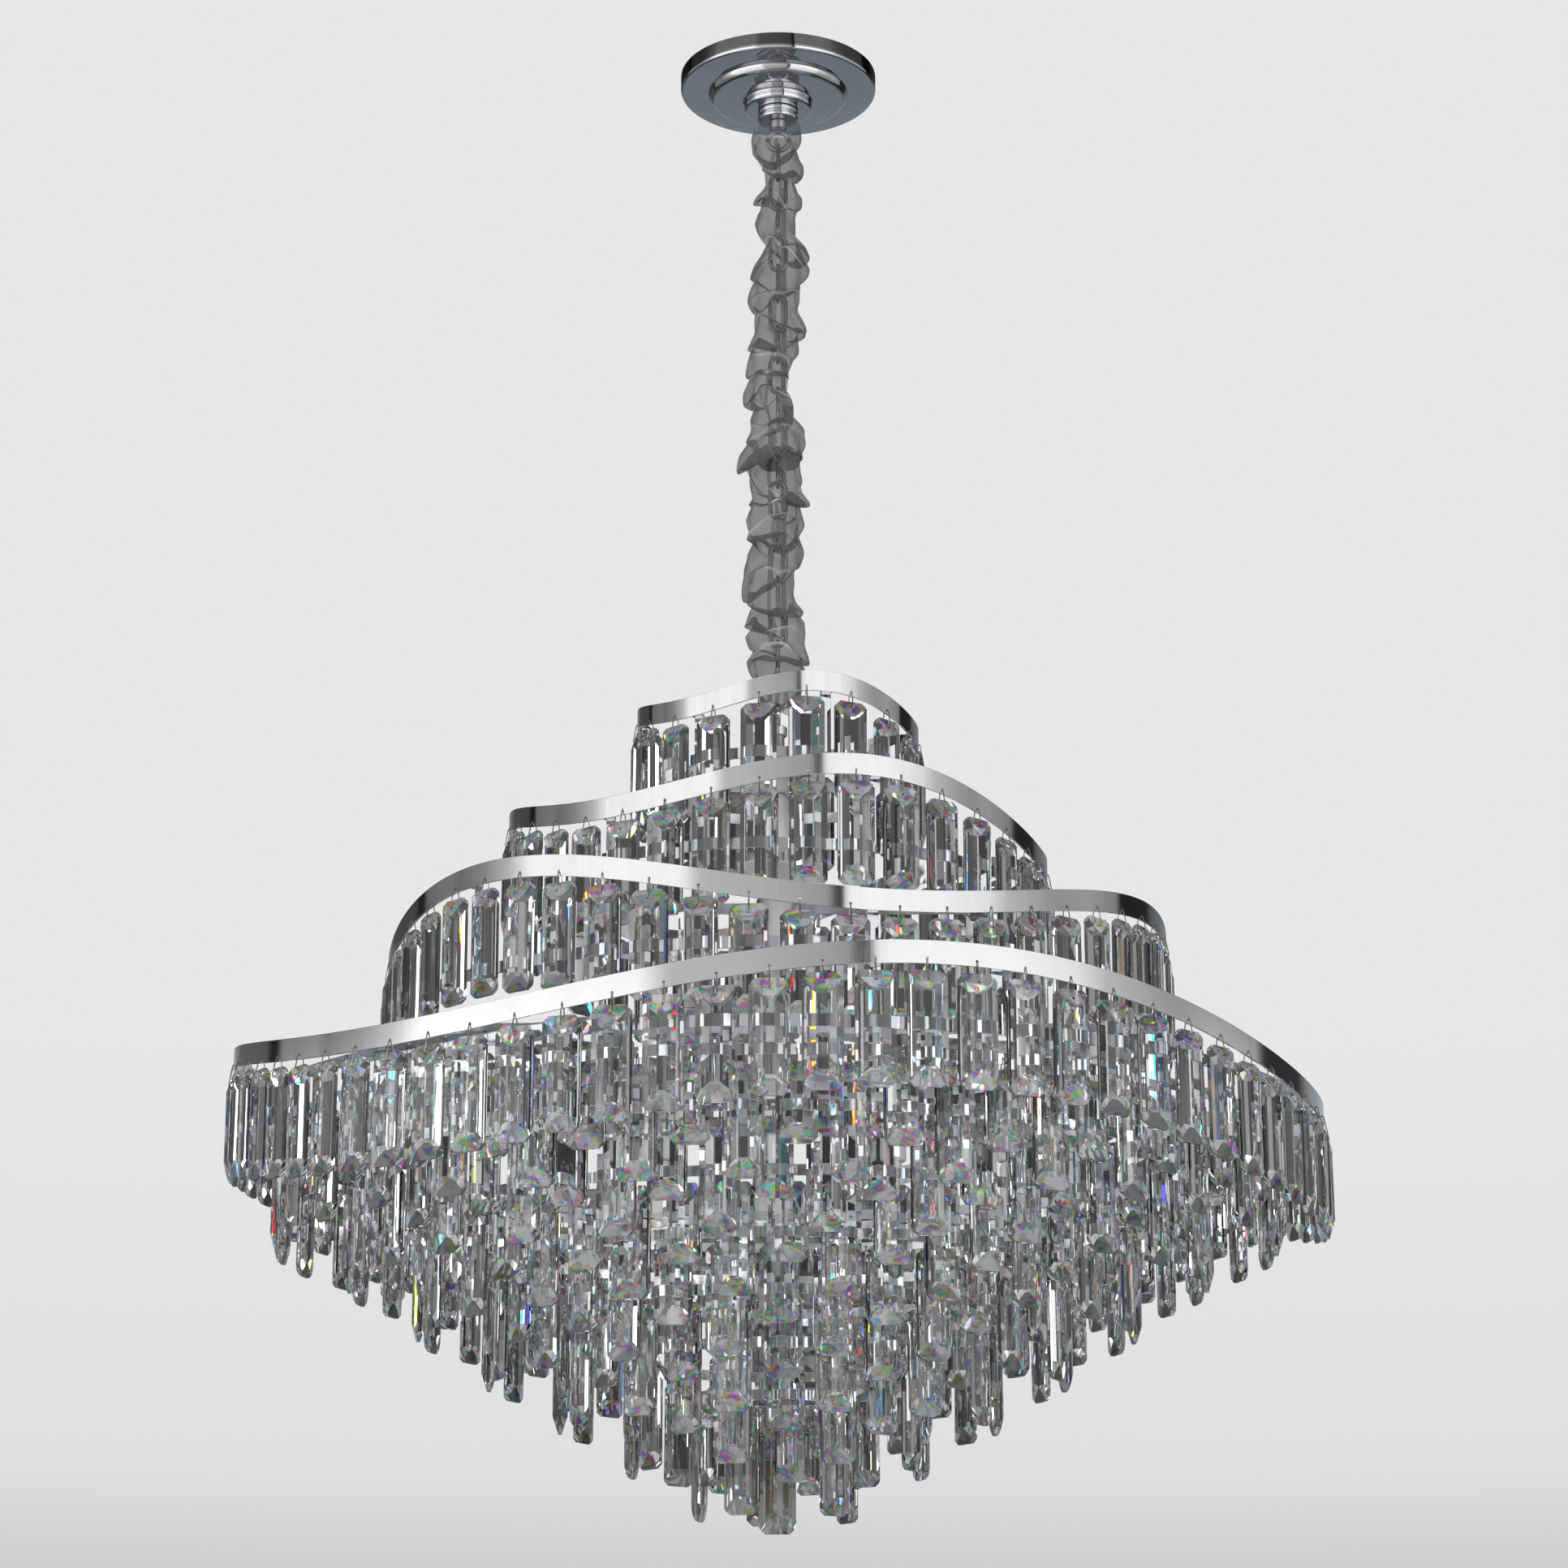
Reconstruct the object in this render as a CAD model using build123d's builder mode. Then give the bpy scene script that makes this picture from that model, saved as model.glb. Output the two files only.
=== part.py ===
from build123d import *
from math import cos, sin, radians, degrees, pi, sqrt
import os

# Crystal chandelier on a chain. Millimetres, +Z up, origin in the ceiling plane on the axis.
# Angles are read from the front (-Y) towards +X.

# ---------------------------------------------------------------- driving dimensions
seat = 0.3                   # clearance between seated pieces

# ceiling bracket and canopy
bracket_length, bracket_width, bracket_thickness = 96.0, 18.0, 2.5
bracket_hole_radius, bracket_hole_spacing = 2.5, 74.0
nipple_radius, nipple_bore = 5.0, 3.0
nut_flats, nut_height = 17.0, 5.0
canopy_radius, canopy_wall, canopy_sheet = 77.3, 13.8, 1.2
canopy_step_radius, canopy_step = 54.0, 4.6
canopy_dome_radius, canopy_dome = 28.5, 5.2
canopy_boss_radius, canopy_boss = 26.5, 6.4
collar_radius, collar_height, collar_groove = 16.0, 9.0, 1.4

# loops, chain, cable and sleeve
socket_radius, socket_height = 7.0, 7.0
eye_radius, eye_wire = 8.0, 2.0
link_wire, link_bow = 1.6, 6.0
chain_links = 15             # besides the top link and the two lowest links
chain_drop = 464.0           # from the canopy eye to the fixture eye
cable_radius, cable_offset, cable_clear = 2.2, 4.25, 4.0
sleeve_top, sleeve_length, sleeve_cloth = 46.0, 485.0, 0.8
sleeve_radius, sleeve_ripple = 21.0, 3.0
hem_gap = 0.5

# crystals and their wire hooks
crystal_width, crystal_thick, crystal_edge = 26.5, 10.8, 2.6
crystal_corner, crystal_moon = 4.5, 12.5
long_length, short_length = 75.0, 53.0
crystal_hole, crystal_hole_depth = 1.0, 6.2
hook_wire, hook_drop = 0.45, 13.8
hook_top, hook_foot = 1.65, 4.2
band_hole = 1.1

# four wavy bands: radius, level of the hole row, crystals, first hole angle,
# three-lobe rise and its angle, two-lobe rise and its angle
band_height, band_thick, band_rim = 15.3, 1.5, 3.4
tiers = [
    (105.3, -547.6, 19, -64.4, 8.1, 20.1, 0.9, -38.9),
    (200.0, -642.1, 37, -42.6, 17.8, 21.8, 7.7, -47.2),
    (286.2, -732.5, 53, -58.2, 19.9, -48.7, 5.0, -9.7),
    (395.0, -828.6, 74, -78.6, 23.9, 19.0, 6.9, -48.7),
]
# spoke frame under each band: its level, and the lamp positions along its spokes
frame_levels = [-588.0, -682.0, -773.0, -850.0]
lamp_radii = [(58.0,), (150.0,), (238.0,), (84.0, 170.0)]
frame_ring_height, frame_ring_thick, frame_inset = 8.0, 2.0, 8.8
spoke_count, spoke_thick = 4, 2.0
hub_radius, hub_height = 16.0, 12.0
bracket_tabs, tab_width, tab_sheet = 6, 8.0, 1.5
screw_radius, screw_head, screw_head_height, screw_lower = 1.15, 2.2, 1.4, 1.2

# seven flat rings of the lower cone: radius, level, crystals, angle of one short crystal
ring_height, ring_thick = 7.5, 1.2
cone = [
    (359.5, -863.0, 66, -8.95),
    (308.0, -889.0, 56, -13.4),
    (257.0, -922.6, 46, -14.1),
    (207.0, -955.6, 36, -19.7),
    (156.0, -986.4, 28, -24.3),
    (106.0, -1016.4, 18, -37.0),
    (56.0, -1047.0, 10, 9.4),
]
rib_height, rib_width, rib_rise = 4.0, 3.0, 0.75
rib_overhang = 9.0
stem_radius = 5.0
cone_hub_radius = 14.0
eye_plate_width, eye_plate_height, pendant_hole_drop = 9.0, 10.0, 6.5

# lamps hang down from the spokes
holder_radius, holder_height = 10.0, 18.0
bulb_radius, bulb_length = 8.0, 44.0


def front(angle):
    """Angle about +Z of a place seen at this angle from the front."""
    return angle - 90.0


def on_ring(radius, angle, z):
    """Frame on a ring: local X along the ring, local Y outwards, Z up."""
    a = front(angle)
    return Location((radius * cos(radians(a)), radius * sin(radians(a)), z), (0, 0, a - 90.0))


def wave(tier, angle):
    """Level of the hole row of a wavy band at an angle."""
    _, mean, _, _, rise3, at3, rise2, at2 = tier
    return (mean + rise3 * cos(3 * radians(angle - at3))
            + rise2 * cos(2 * radians(angle - at2)))


def hole_angles(count, first):
    return [first + 360.0 * i / count for i in range(count)]


def stadium(bow, straight, plane, wire):
    """Round-wire link, its centre line a stadium standing along the plane's Y axis."""
    with BuildPart() as link:
        with BuildLine(plane) as path:
            a = Line((bow, -straight / 2), (bow, straight / 2))
            b = CenterArc((0, straight / 2), bow, 0, 180)
            c = Line((-bow, straight / 2), (-bow, -straight / 2))
            d = CenterArc((0, -straight / 2), bow, 180, 180)
        with BuildSketch(Plane(origin=a @ 0, z_dir=a % 0)):
            Circle(wire)
        sweep(path=path.line)
    return link.part


os.makedirs("parts", exist_ok=True)
nodes = []


def finish(part, label, pcurves=True):
    part.label = label
    export_step(part, "parts/" + label + ".step", write_pcurves=pcurves)
    nodes.append(label)


# ---------------------------------------------------------------- one long crystal, one short
def crystal(length):
    """Faceted lens bar with clipped corners and a half-moon facet on each face at each end.
    Origin at the hole in the band that carries it."""
    top = -hook_drop - (crystal_hole - hook_wire - 0.25) + crystal_hole_depth
    half, edge, thick = crystal_width / 2, crystal_edge / 2, crystal_thick / 2
    with BuildPart() as bar:
        with BuildSketch(Plane.XY.offset(top - length)):
            with BuildLine():
                side = [(half, edge), (half * 0.65, thick * 0.72), (half * 0.24, thick)]
                upper = side + [(-x, y) for x, y in reversed(side)]
                Polyline(*upper, *[(-x, -y) for x, y in upper], close=True)
            make_face()
        extrude(amount=length)
        # outline with clipped corners, seen along Y
        with BuildSketch(Plane.XZ.offset(-thick - 1)):
            with Locations((0, top - length / 2)):
                Rectangle(crystal_width + 2, length + 2)
                with BuildLine(mode=Mode.PRIVATE) as outline:
                    w, h, c = half, length / 2, crystal_corner
                    Polyline((w, h - c), (w - c, h), (c - w, h), (-w, h - c), (-w, c - h),
                             (c - w, -h), (w - c, -h), (w, c - h), close=True)
                add(make_face(outline.edges(), mode=Mode.PRIVATE), mode=Mode.SUBTRACT)
        extrude(amount=2 * thick + 2, mode=Mode.SUBTRACT)
        # half-moon facets: one slanting plane on each face at each end
        with BuildSketch(Plane.YZ.offset(-half - 1)):
            for z, down in ((top, -1), (top - length, 1)):
                for y in (-1, 1):
                    with BuildLine():
                        Polyline((y * edge, z - down), (y * edge, z), (y * thick, z + down * crystal_moon),
                                 (y * (thick + 1), z + down * crystal_moon), (y * (thick + 1), z - down),
                                 close=True)
                    make_face()
        extrude(amount=crystal_width + 2, mode=Mode.SUBTRACT)
        with Locations((0, 0, top - crystal_hole_depth)):
            Cylinder(crystal_hole, crystal_thick + 2, rotation=(90, 0, 0), mode=Mode.SUBTRACT)
    return bar.part


long_crystal = crystal(long_length)
short_crystal = crystal(short_length)

# ---------------------------------------------------------------- one wire hook
# closed loop of wire in the radial plane: round over the band's hole, wide at the crystal
hook_over = band_hole - hook_wire - 0.25
with BuildPart() as hook:
    with BuildLine(Plane.YZ) as loop:
        FilletPolyline((hook_foot, -hook_drop), (hook_top, -hook_over), (-hook_top, -hook_over),
                       (-hook_foot, -hook_drop), radius=0.9, close=True)
    with BuildSketch(Plane(origin=loop.line @ 0, z_dir=loop.line % 0)):
        Circle(hook_wire)
    sweep(path=loop.line)

# ---------------------------------------------------------------- ceiling bracket, nipple, nuts
with BuildPart() as bracket:
    with BuildSketch(Plane.XY.offset(-bracket_thickness)):
        SlotOverall(bracket_length, bracket_width)
        Circle(nipple_radius + 0.2, mode=Mode.SUBTRACT)
        with GridLocations(bracket_hole_spacing, 0, 2, 1):
            Circle(bracket_hole_radius, mode=Mode.SUBTRACT)
    extrude(amount=bracket_thickness)
    chamfer(bracket.faces().sort_by(Axis.Z)[0].outer_wire().edges(), 0.4)
finish(bracket.part, "ceiling_bracket")

canopy_floor = -canopy_wall - canopy_step - canopy_dome - canopy_boss      # under the boss
collar_top = canopy_floor - seat
collar_foot = collar_top - collar_height
nipple_foot = collar_foot - socket_height + 2.0
nut_under_bracket = -bracket_thickness - seat - nut_height
with BuildPart() as nipple:
    with BuildSketch(Plane.XY.offset(nipple_foot)):
        Circle(nipple_radius)
        Circle(nipple_bore, mode=Mode.SUBTRACT)
    extrude(amount=-0.5 - nipple_foot)
    chamfer(nipple.faces().sort_by(Axis.Z)[0].edges(), 0.5)
finish(nipple.part, "threaded_nipple")

with BuildPart() as bracket_nut:
    with BuildSketch(Plane.XY.offset(nut_under_bracket)):
        RegularPolygon(nut_flats / 2, 6, major_radius=False)
        Circle(nipple_radius + 0.05, mode=Mode.SUBTRACT)
    extrude(amount=nut_height)
    chamfer(bracket_nut.edges().filter_by(GeomType.LINE).group_by(Axis.Z)[0], 0.6)
finish(bracket_nut.part, "bracket_nut")

# canopy: stepped spun dome, drawn as one profile and shelled inwards
z1 = -canopy_wall
z2 = z1 - canopy_step
z3 = z2 - canopy_dome
with BuildPart() as canopy:
    with BuildSketch(Plane.XZ) as canopy_section:
        with BuildLine():
            outer = [(canopy_radius, -seat), (canopy_radius, z1), (canopy_step_radius + 3.0, z1 - 1.0),
                     (canopy_step_radius, z1 - 1.0), (canopy_step_radius, z2),
                     (canopy_step_radius - 4.0, z2 - 0.6), (canopy_dome_radius, z3),
                     (canopy_boss_radius, z3), (canopy_boss_radius, canopy_floor),
                     (nipple_radius + 0.3, canopy_floor)]
            s = canopy_sheet
            inner = [(nipple_radius + 0.3, canopy_floor + s), (canopy_boss_radius - s, canopy_floor + s),
                     (canopy_boss_radius - s, z3 + s), (canopy_dome_radius, z3 + s),
                     (canopy_step_radius - 4.0 - s, z2 - 0.6 + s), (canopy_step_radius - s, z2 + s),
                     (canopy_step_radius - s, z1 - 1.0 + s), (canopy_step_radius + 3.0, z1 - 1.0 + s),
                     (canopy_radius - s, z1 + s), (canopy_radius - s, -seat)]
            Polyline(*outer, *inner, close=True)
        make_face()
    revolve(axis=Axis.Z)
    fillet(canopy.edges().filter_by(GeomType.CIRCLE).filter_by(
        lambda e: abs(e.radius - canopy_radius) < 0.01 and e.center().Z < -1), 1.0)
finish(canopy.part, "canopy")

with BuildPart() as collar:
    with BuildSketch(Plane.XZ):
        with BuildLine():
            zm = collar_top - collar_height / 2
            g = collar_groove / 2
            Polyline((nipple_radius + 0.05, collar_top), (collar_radius - 0.8, collar_top),
                     (collar_radius, collar_top - 0.8), (collar_radius, zm + g + 0.6),
                     (collar_radius - 0.6, zm + g), (collar_radius - 2.0, zm + g),
                     (collar_radius - 2.0, zm - g), (collar_radius - 0.6, zm - g),
                     (collar_radius, zm - g - 0.6), (collar_radius, collar_foot + 0.8),
                     (collar_radius - 0.8, collar_foot), (nipple_radius + 0.05, collar_foot), close=True)
        make_face()
    revolve(axis=Axis.Z)
finish(collar.part, "canopy_collar")


def eye_loop(socket_z, up, plane, bore_depth):
    """Socket with a welded round eye, the socket's mouth at socket_z."""
    eye_z = socket_z + up * (socket_height + eye_radius + eye_wire - 0.8)
    with BuildPart() as part:
        with BuildSketch(Plane.XY.offset(socket_z)):
            Circle(socket_radius)
        extrude(amount=up * socket_height)
        chamfer(part.edges().filter_by(GeomType.CIRCLE), 0.6)
        with BuildSketch(Plane.XY.offset(socket_z)):
            Circle(nipple_radius + 0.05)
        extrude(amount=up * bore_depth, mode=Mode.SUBTRACT)
        with BuildSketch(Plane((0, 0, eye_z), x_dir=plane.x_dir, z_dir=(0, 0, 1))):
            with Locations(Location((eye_radius, 0, 0), (0, 0, 180))):
                Circle(eye_wire)
        revolve(axis=Axis((0, 0, eye_z), plane.z_dir))
    return part.part


canopy_socket = collar_foot - seat
canopy_loop = eye_loop(canopy_socket, -1, Plane.XZ, 5.0)
finish(canopy_loop, "canopy_loop")

# ---------------------------------------------------------------- chain
eye_bottom = canopy_socket - socket_height - eye_wire + 0.8 - 2 * eye_radius    # eye's lowest wire centre
hang = link_wire + eye_wire + seat                                             # eye wire to link wire
step = 2 * link_wire + seat                                                    # link wire to link wire
link_total = chain_links + 3
first_top = eye_bottom + hang
last_bottom = eye_bottom - chain_drop
link_pitch = (first_top - last_bottom - step) / link_total
link_straight = link_pitch + step - 2 * link_bow


def link_centre(i):
    return first_top - link_pitch * i - (link_straight / 2 + link_bow)


def link_plane(i):
    """Links stand alternately in the YZ and the XZ plane."""
    z = link_centre(i)
    return Plane((0, 0, z), x_dir=(0, 1, 0), z_dir=(1, 0, 0)) if i % 2 == 0 else \
        Plane((0, 0, z), x_dir=(1, 0, 0), z_dir=(0, -1, 0))


links = [stadium(link_bow, link_straight, link_plane(i), link_wire) for i in range(link_total)]
finish(links[0], "top_link")
with BuildPart() as chain:
    for link in links[1:1 + chain_links]:
        add(link)
finish(chain.part, "chain")
finish(links[-2], "swivel_link")
finish(links[-1], "lower_link")

# the fixture's eye stands in the YZ plane under the last link
fixture_eye_top = last_bottom + hang
fixture_socket = fixture_eye_top - 2 * eye_radius - eye_wire + 0.8 - socket_height
fixture_loop = eye_loop(fixture_socket, 1, Plane.YZ, 5.0)
finish(fixture_loop, "fixture_loop")

# ---------------------------------------------------------------- supply cable beside the chain
# it runs only along the links that don't turn against each other
link_reach = link_straight / 2 + link_bow + link_wire
cable_top = link_centre(0) - link_reach - cable_clear
cable_foot = link_centre(link_total - 2) + link_reach + cable_clear
with BuildPart() as cable:
    with BuildSketch(Plane.XY.offset(cable_foot)):
        with Locations((cable_offset, cable_offset)):
            Circle(cable_radius)
    extrude(amount=cable_top - cable_foot)
finish(cable.part, "supply_cable")

# ---------------------------------------------------------------- organza sleeve
# gathered tube with an inner drawn hem that grips the chain near its top and its foot
hem_radius = cable_offset * sqrt(2) + cable_radius + hem_gap
sleeve_foot = -sleeve_top - sleeve_length
ripples = [(0.0, 0.6), (0.06, 0.8), (0.13, -0.2), (0.2, 0.4), (0.27, -0.3), (0.34, 0.3), (0.42, -0.9),
           (0.49, -1.0), (0.55, 1.0), (0.62, 0.9), (0.7, 0.6), (0.78, 0.2), (0.86, 0.9), (0.94, 1.0),
           (1.0, 1.2)]
with BuildPart() as sleeve:
    with BuildSketch(Plane.XZ):
        with BuildLine():
            pts = [(sleeve_radius + sleeve_ripple * r, -sleeve_top - sleeve_length * t) for t, r in ripples]
            side = Spline(*pts)
            inside = Spline(*[(x - sleeve_cloth, z) for x, z in reversed(pts)])
            Line(side @ 1, inside @ 0)
            Line(inside @ 1, side @ 0)
        make_face()
        for t, r in (ripples[2], ripples[12]):
            z = -sleeve_top - sleeve_length * t
            wall = sleeve_radius + sleeve_ripple * r - sleeve_cloth / 2
            with Locations(((hem_radius + wall) / 2, z)):
                Rectangle(wall - hem_radius, sleeve_cloth)
    revolve(axis=Axis.Z)
finish(sleeve.part, "organza_sleeve")

# ---------------------------------------------------------------- stem and nuts
cone_hub_z = cone[-1][1] + ring_height / 2 + rib_rise
stem_foot = cone_hub_z - nut_height - 2 * seat - 2.0
stem_top = fixture_socket + 4.0
pendant_z = stem_foot - pendant_hole_drop
with BuildPart() as stem:
    with BuildSketch(Plane.XY.offset(stem_foot)):
        Circle(stem_radius)
    extrude(amount=stem_top - stem_foot)
    chamfer(stem.edges().filter_by(GeomType.CIRCLE), 0.5)
    # flat eye plate that the centre pendant hangs from
    with BuildSketch(Plane.XZ.offset(-band_thick / 2)):
        with Locations((0, stem_foot - eye_plate_height / 2 + 0.5)):
            RectangleRounded(eye_plate_width, eye_plate_height + 1.0, 2.0)
        with Locations((0, pendant_z)):
            Circle(band_hole, mode=Mode.SUBTRACT)
    extrude(amount=band_thick)
finish(stem.part, "centre_stem")

with BuildPart() as stem_nuts:
    hubs = [(z - hub_height / 2 - nut_height - seat, z + hub_height / 2 + seat) for z in frame_levels]
    hubs.append((cone_hub_z - nut_height - seat, cone_hub_z + hub_height + seat))
    for pair in hubs:
        for z in pair:
            with BuildSketch(Plane.XY.offset(z)):
                RegularPolygon(nut_flats / 2, 6, major_radius=False)
                Circle(stem_radius + 0.05, mode=Mode.SUBTRACT)
            extrude(amount=nut_height)
finish(stem_nuts.part, "stem_nuts")

# ---------------------------------------------------------------- tiers
band_screws = []
for n, tier in enumerate(tiers):
    radius, mean, count, first, rise3, at3, rise2, at2 = tier
    level = frame_levels[n]
    ring_out = radius - frame_inset
    leaf_out = ring_out + seat + tab_sheet
    pitch = 360.0 / count
    tabs = []
    for j in range(bracket_tabs):
        want = at3 + 60.0 + 360.0 / bracket_tabs * j
        k = round((want - first) / pitch - 0.5)
        tabs.append(first + (k + 0.5) * pitch)

    # wavy band: upright strip lofted through sections every five degrees, in four lengths
    with BuildPart() as band:
        for quarter in range(4):
            for i in range(19):
                a = 90.0 * quarter + 5.0 * i
                z = wave(tier, a) - band_rim + band_height / 2
                place = on_ring(radius, a, z)
                with BuildSketch(Plane(place.position, x_dir=(place * Location((0, 1, 0))).position
                                       - place.position, z_dir=(place * Location((1, 0, 0))).position
                                       - place.position)):
                    Rectangle(band_thick, band_height)
            loft()
        with Locations(*[on_ring(radius, a, wave(tier, a)) for a in hole_angles(count, first)]):
            Cylinder(band_hole, band_thick + 3, rotation=(90, 0, 0), mode=Mode.SUBTRACT)
        for a in tabs:
            low = wave(tier, a) - band_rim + 1.0
            foot = min(low, level - frame_ring_height / 2)
            head = max(low + tab_sheet, level + frame_ring_height / 2)
            band_in = radius - band_thick / 2
            with Locations(on_ring(0, a, 0)):
                with Locations((0, band_in - tab_sheet / 2 + 0.2, low + 4.5)):
                    Box(tab_width, tab_sheet + 0.4, 9.0)
                with Locations((0, (band_in + ring_out + seat) / 2, low + tab_sheet / 2)):
                    Box(tab_width, band_in - ring_out - seat, tab_sheet)
                with Locations((0, ring_out + seat + tab_sheet / 2, (foot + head) / 2)):
                    Box(tab_width, tab_sheet, head - foot)
                with Locations((0, leaf_out, level - screw_lower)):
                    Cylinder(screw_radius + 0.15, 4 * tab_sheet, rotation=(90, 0, 0), mode=Mode.SUBTRACT)
    finish(band.part, "wavy_band_" + str(n + 1))

    # spoke frame: hub, spokes and a plain ring just inside the crystals
    with BuildPart() as frame:
        with BuildSketch(Plane.XY.offset(level - frame_ring_height / 2)):
            Circle(ring_out)
            Circle(ring_out - frame_ring_thick, mode=Mode.SUBTRACT)
            inner = hub_radius - 1.0
            reach = ring_out - frame_ring_thick + 0.5 - inner
            with PolarLocations(inner + reach / 2, spoke_count):
                Rectangle(reach, spoke_thick)
        extrude(amount=frame_ring_height)
        with BuildSketch(Plane.XY.offset(level - hub_height / 2)):
            Circle(hub_radius)
        extrude(amount=hub_height)
        with BuildSketch(Plane.XY.offset(level - hub_height / 2)):
            Circle(stem_radius + 0.1)
        extrude(amount=hub_height, mode=Mode.SUBTRACT)
        with Locations(*[on_ring(ring_out - frame_ring_thick / 2, a, level - screw_lower) for a in tabs]):
            Cylinder(screw_radius + 0.05, frame_ring_thick + 1, rotation=(90, 0, 0), mode=Mode.SUBTRACT)
    finish(frame.part, "tier_frame_" + str(n + 1))

    # screws through the tabs into the plain ring
    shank = tab_sheet + seat + frame_ring_thick
    with BuildPart() as screw:
        with Locations((0, -shank / 2, 0)):
            Cylinder(screw_radius, shank, rotation=(90, 0, 0))
        with Locations((0, screw_head_height / 2, 0)):
            Cylinder(screw_head, screw_head_height, rotation=(90, 0, 0))
    band_screws += [screw.part.moved(on_ring(leaf_out, a, level - screw_lower)) for a in tabs]

    spots = [on_ring(radius, a, wave(tier, a)) for a in hole_angles(count, first)]
    with BuildPart() as hooks:
        with Locations(*spots):
            add(hook.part, clean=False)
    finish(hooks.part, "tier_hooks_" + str(n + 1), False)
    with BuildPart() as crystals:
        with Locations(*spots):
            add(long_crystal, clean=False)
    finish(crystals.part, "tier_crystals_" + str(n + 1), False)

with BuildPart() as screws:
    add(band_screws, clean=False)
finish(screws.part, "band_screws")

# ---------------------------------------------------------------- lower cone
cone_hooks = []
for n, (radius, level, count, short_at) in enumerate(cone):
    angles = hole_angles(count, short_at)
    with BuildPart() as ring:
        with BuildSketch(Plane.XY.offset(level - ring_height / 2)):
            Circle(radius + ring_thick / 2)
            Circle(radius - ring_thick / 2, mode=Mode.SUBTRACT)
        extrude(amount=ring_height)
        with Locations(*[on_ring(radius, a, level) for a in angles]):
            Cylinder(band_hole, ring_thick + 3, rotation=(90, 0, 0), mode=Mode.SUBTRACT)
    finish(ring.part, "cone_ring_" + str(n + 1))
    with BuildPart() as short_ones:
        with Locations(*[on_ring(radius, a, level) for a in angles[0::2]]):
            add(short_crystal, clean=False)
    finish(short_ones.part, "cone_short_crystals_" + str(n + 1), False)
    with BuildPart() as long_ones:
        with Locations(*[on_ring(radius, a, level) for a in angles[1::2]]):
            add(long_crystal, clean=False)
    finish(long_ones.part, "cone_long_crystals_" + str(n + 1), False)
    cone_hooks += [on_ring(radius, a, level) for a in angles]

with BuildPart() as lower_hooks:
    with Locations(*cone_hooks):
        add(hook.part, clean=False)
finish(lower_hooks.part, "cone_hooks", False)

# ribs lie on the rings' upper edges and run down to a hub on the stem
with BuildPart() as ribs:
    under = [(r, z + ring_height / 2 + rib_rise) for r, z, _, _ in cone]
    frame_foot = frame_levels[-1] - frame_ring_height / 2
    tip = (cone[0][0] + rib_overhang, under[0][1])
    over = [(r, z + rib_height) for r, z in under]
    over[0] = (under[0][0], frame_foot - seat)
    inner = (cone_hub_radius - 1.0, cone_hub_z)
    with BuildSketch(Plane.XZ.offset(-rib_width / 2)):
        with BuildLine():
            Polyline(tip, *under, inner, (inner[0], inner[1] + rib_height), *reversed(over),
                     (tip[0], frame_foot - seat), close=True)
        make_face()
    extrude(amount=rib_width)
    rib = ribs.part
    with PolarLocations(0, spoke_count):
        add(rib)
    with BuildSketch(Plane.XY.offset(cone_hub_z)):
        Circle(cone_hub_radius)
    extrude(amount=hub_height)
    with BuildSketch(Plane.XY.offset(cone_hub_z)):
        Circle(stem_radius + 0.1)
    extrude(amount=hub_height, mode=Mode.SUBTRACT)
finish(ribs.part, "cone_ribs")

# ---------------------------------------------------------------- centre pendant
finish(hook.part.moved(Location((0, 0, pendant_z))), "centre_hook")
finish(long_crystal.moved(Location((0, 0, pendant_z))), "centre_crystal")

# ---------------------------------------------------------------- lamps
holders, bulbs = [], []
holder_top = -frame_ring_height / 2 - seat
with BuildPart() as holder:
    with Locations((0, 0, holder_top - holder_height / 2)):
        Cylinder(holder_radius, holder_height)
    chamfer(holder.edges().filter_by(GeomType.CIRCLE), 1.2)
with BuildPart() as bulb:
    foot = holder_top - holder_height - seat
    with BuildSketch(Plane.XZ):
        with BuildLine():
            Polyline((0, foot), (bulb_radius - 2, foot), (bulb_radius, foot - 4),
                     (bulb_radius, foot - bulb_length + 6), (bulb_radius * 0.6, foot - bulb_length + 1.5),
                     (0, foot - bulb_length), close=True)
        make_face()
    revolve(axis=Axis.Z)
for n, radii in enumerate(lamp_radii):
    for r in radii:
        for q in range(spoke_count):
            spot = on_ring(r, 360.0 / spoke_count * q, frame_levels[n])
            holders.append(holder.part.moved(spot))
            bulbs.append(bulb.part.moved(spot))
with BuildPart() as lamp_holders:
    add(holders, clean=False)
finish(lamp_holders.part, "lamp_holders")
with BuildPart() as all_bulbs:
    add(bulbs, clean=False)
finish(all_bulbs.part, "bulbs")

print(len(nodes), "pieces; link pitch", round(link_pitch, 2), "eye", round(eye_bottom, 2),
      "last link", round(last_bottom, 2), "fixture eye", round(fixture_eye_top, 2),
      "pendant hole", round(pendant_z, 2), "collar foot", round(collar_foot, 2))
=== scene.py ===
from math import cos, pi, radians, sin

import bmesh
import bpy
import numpy as np
from mathutils import Matrix, Vector


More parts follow.
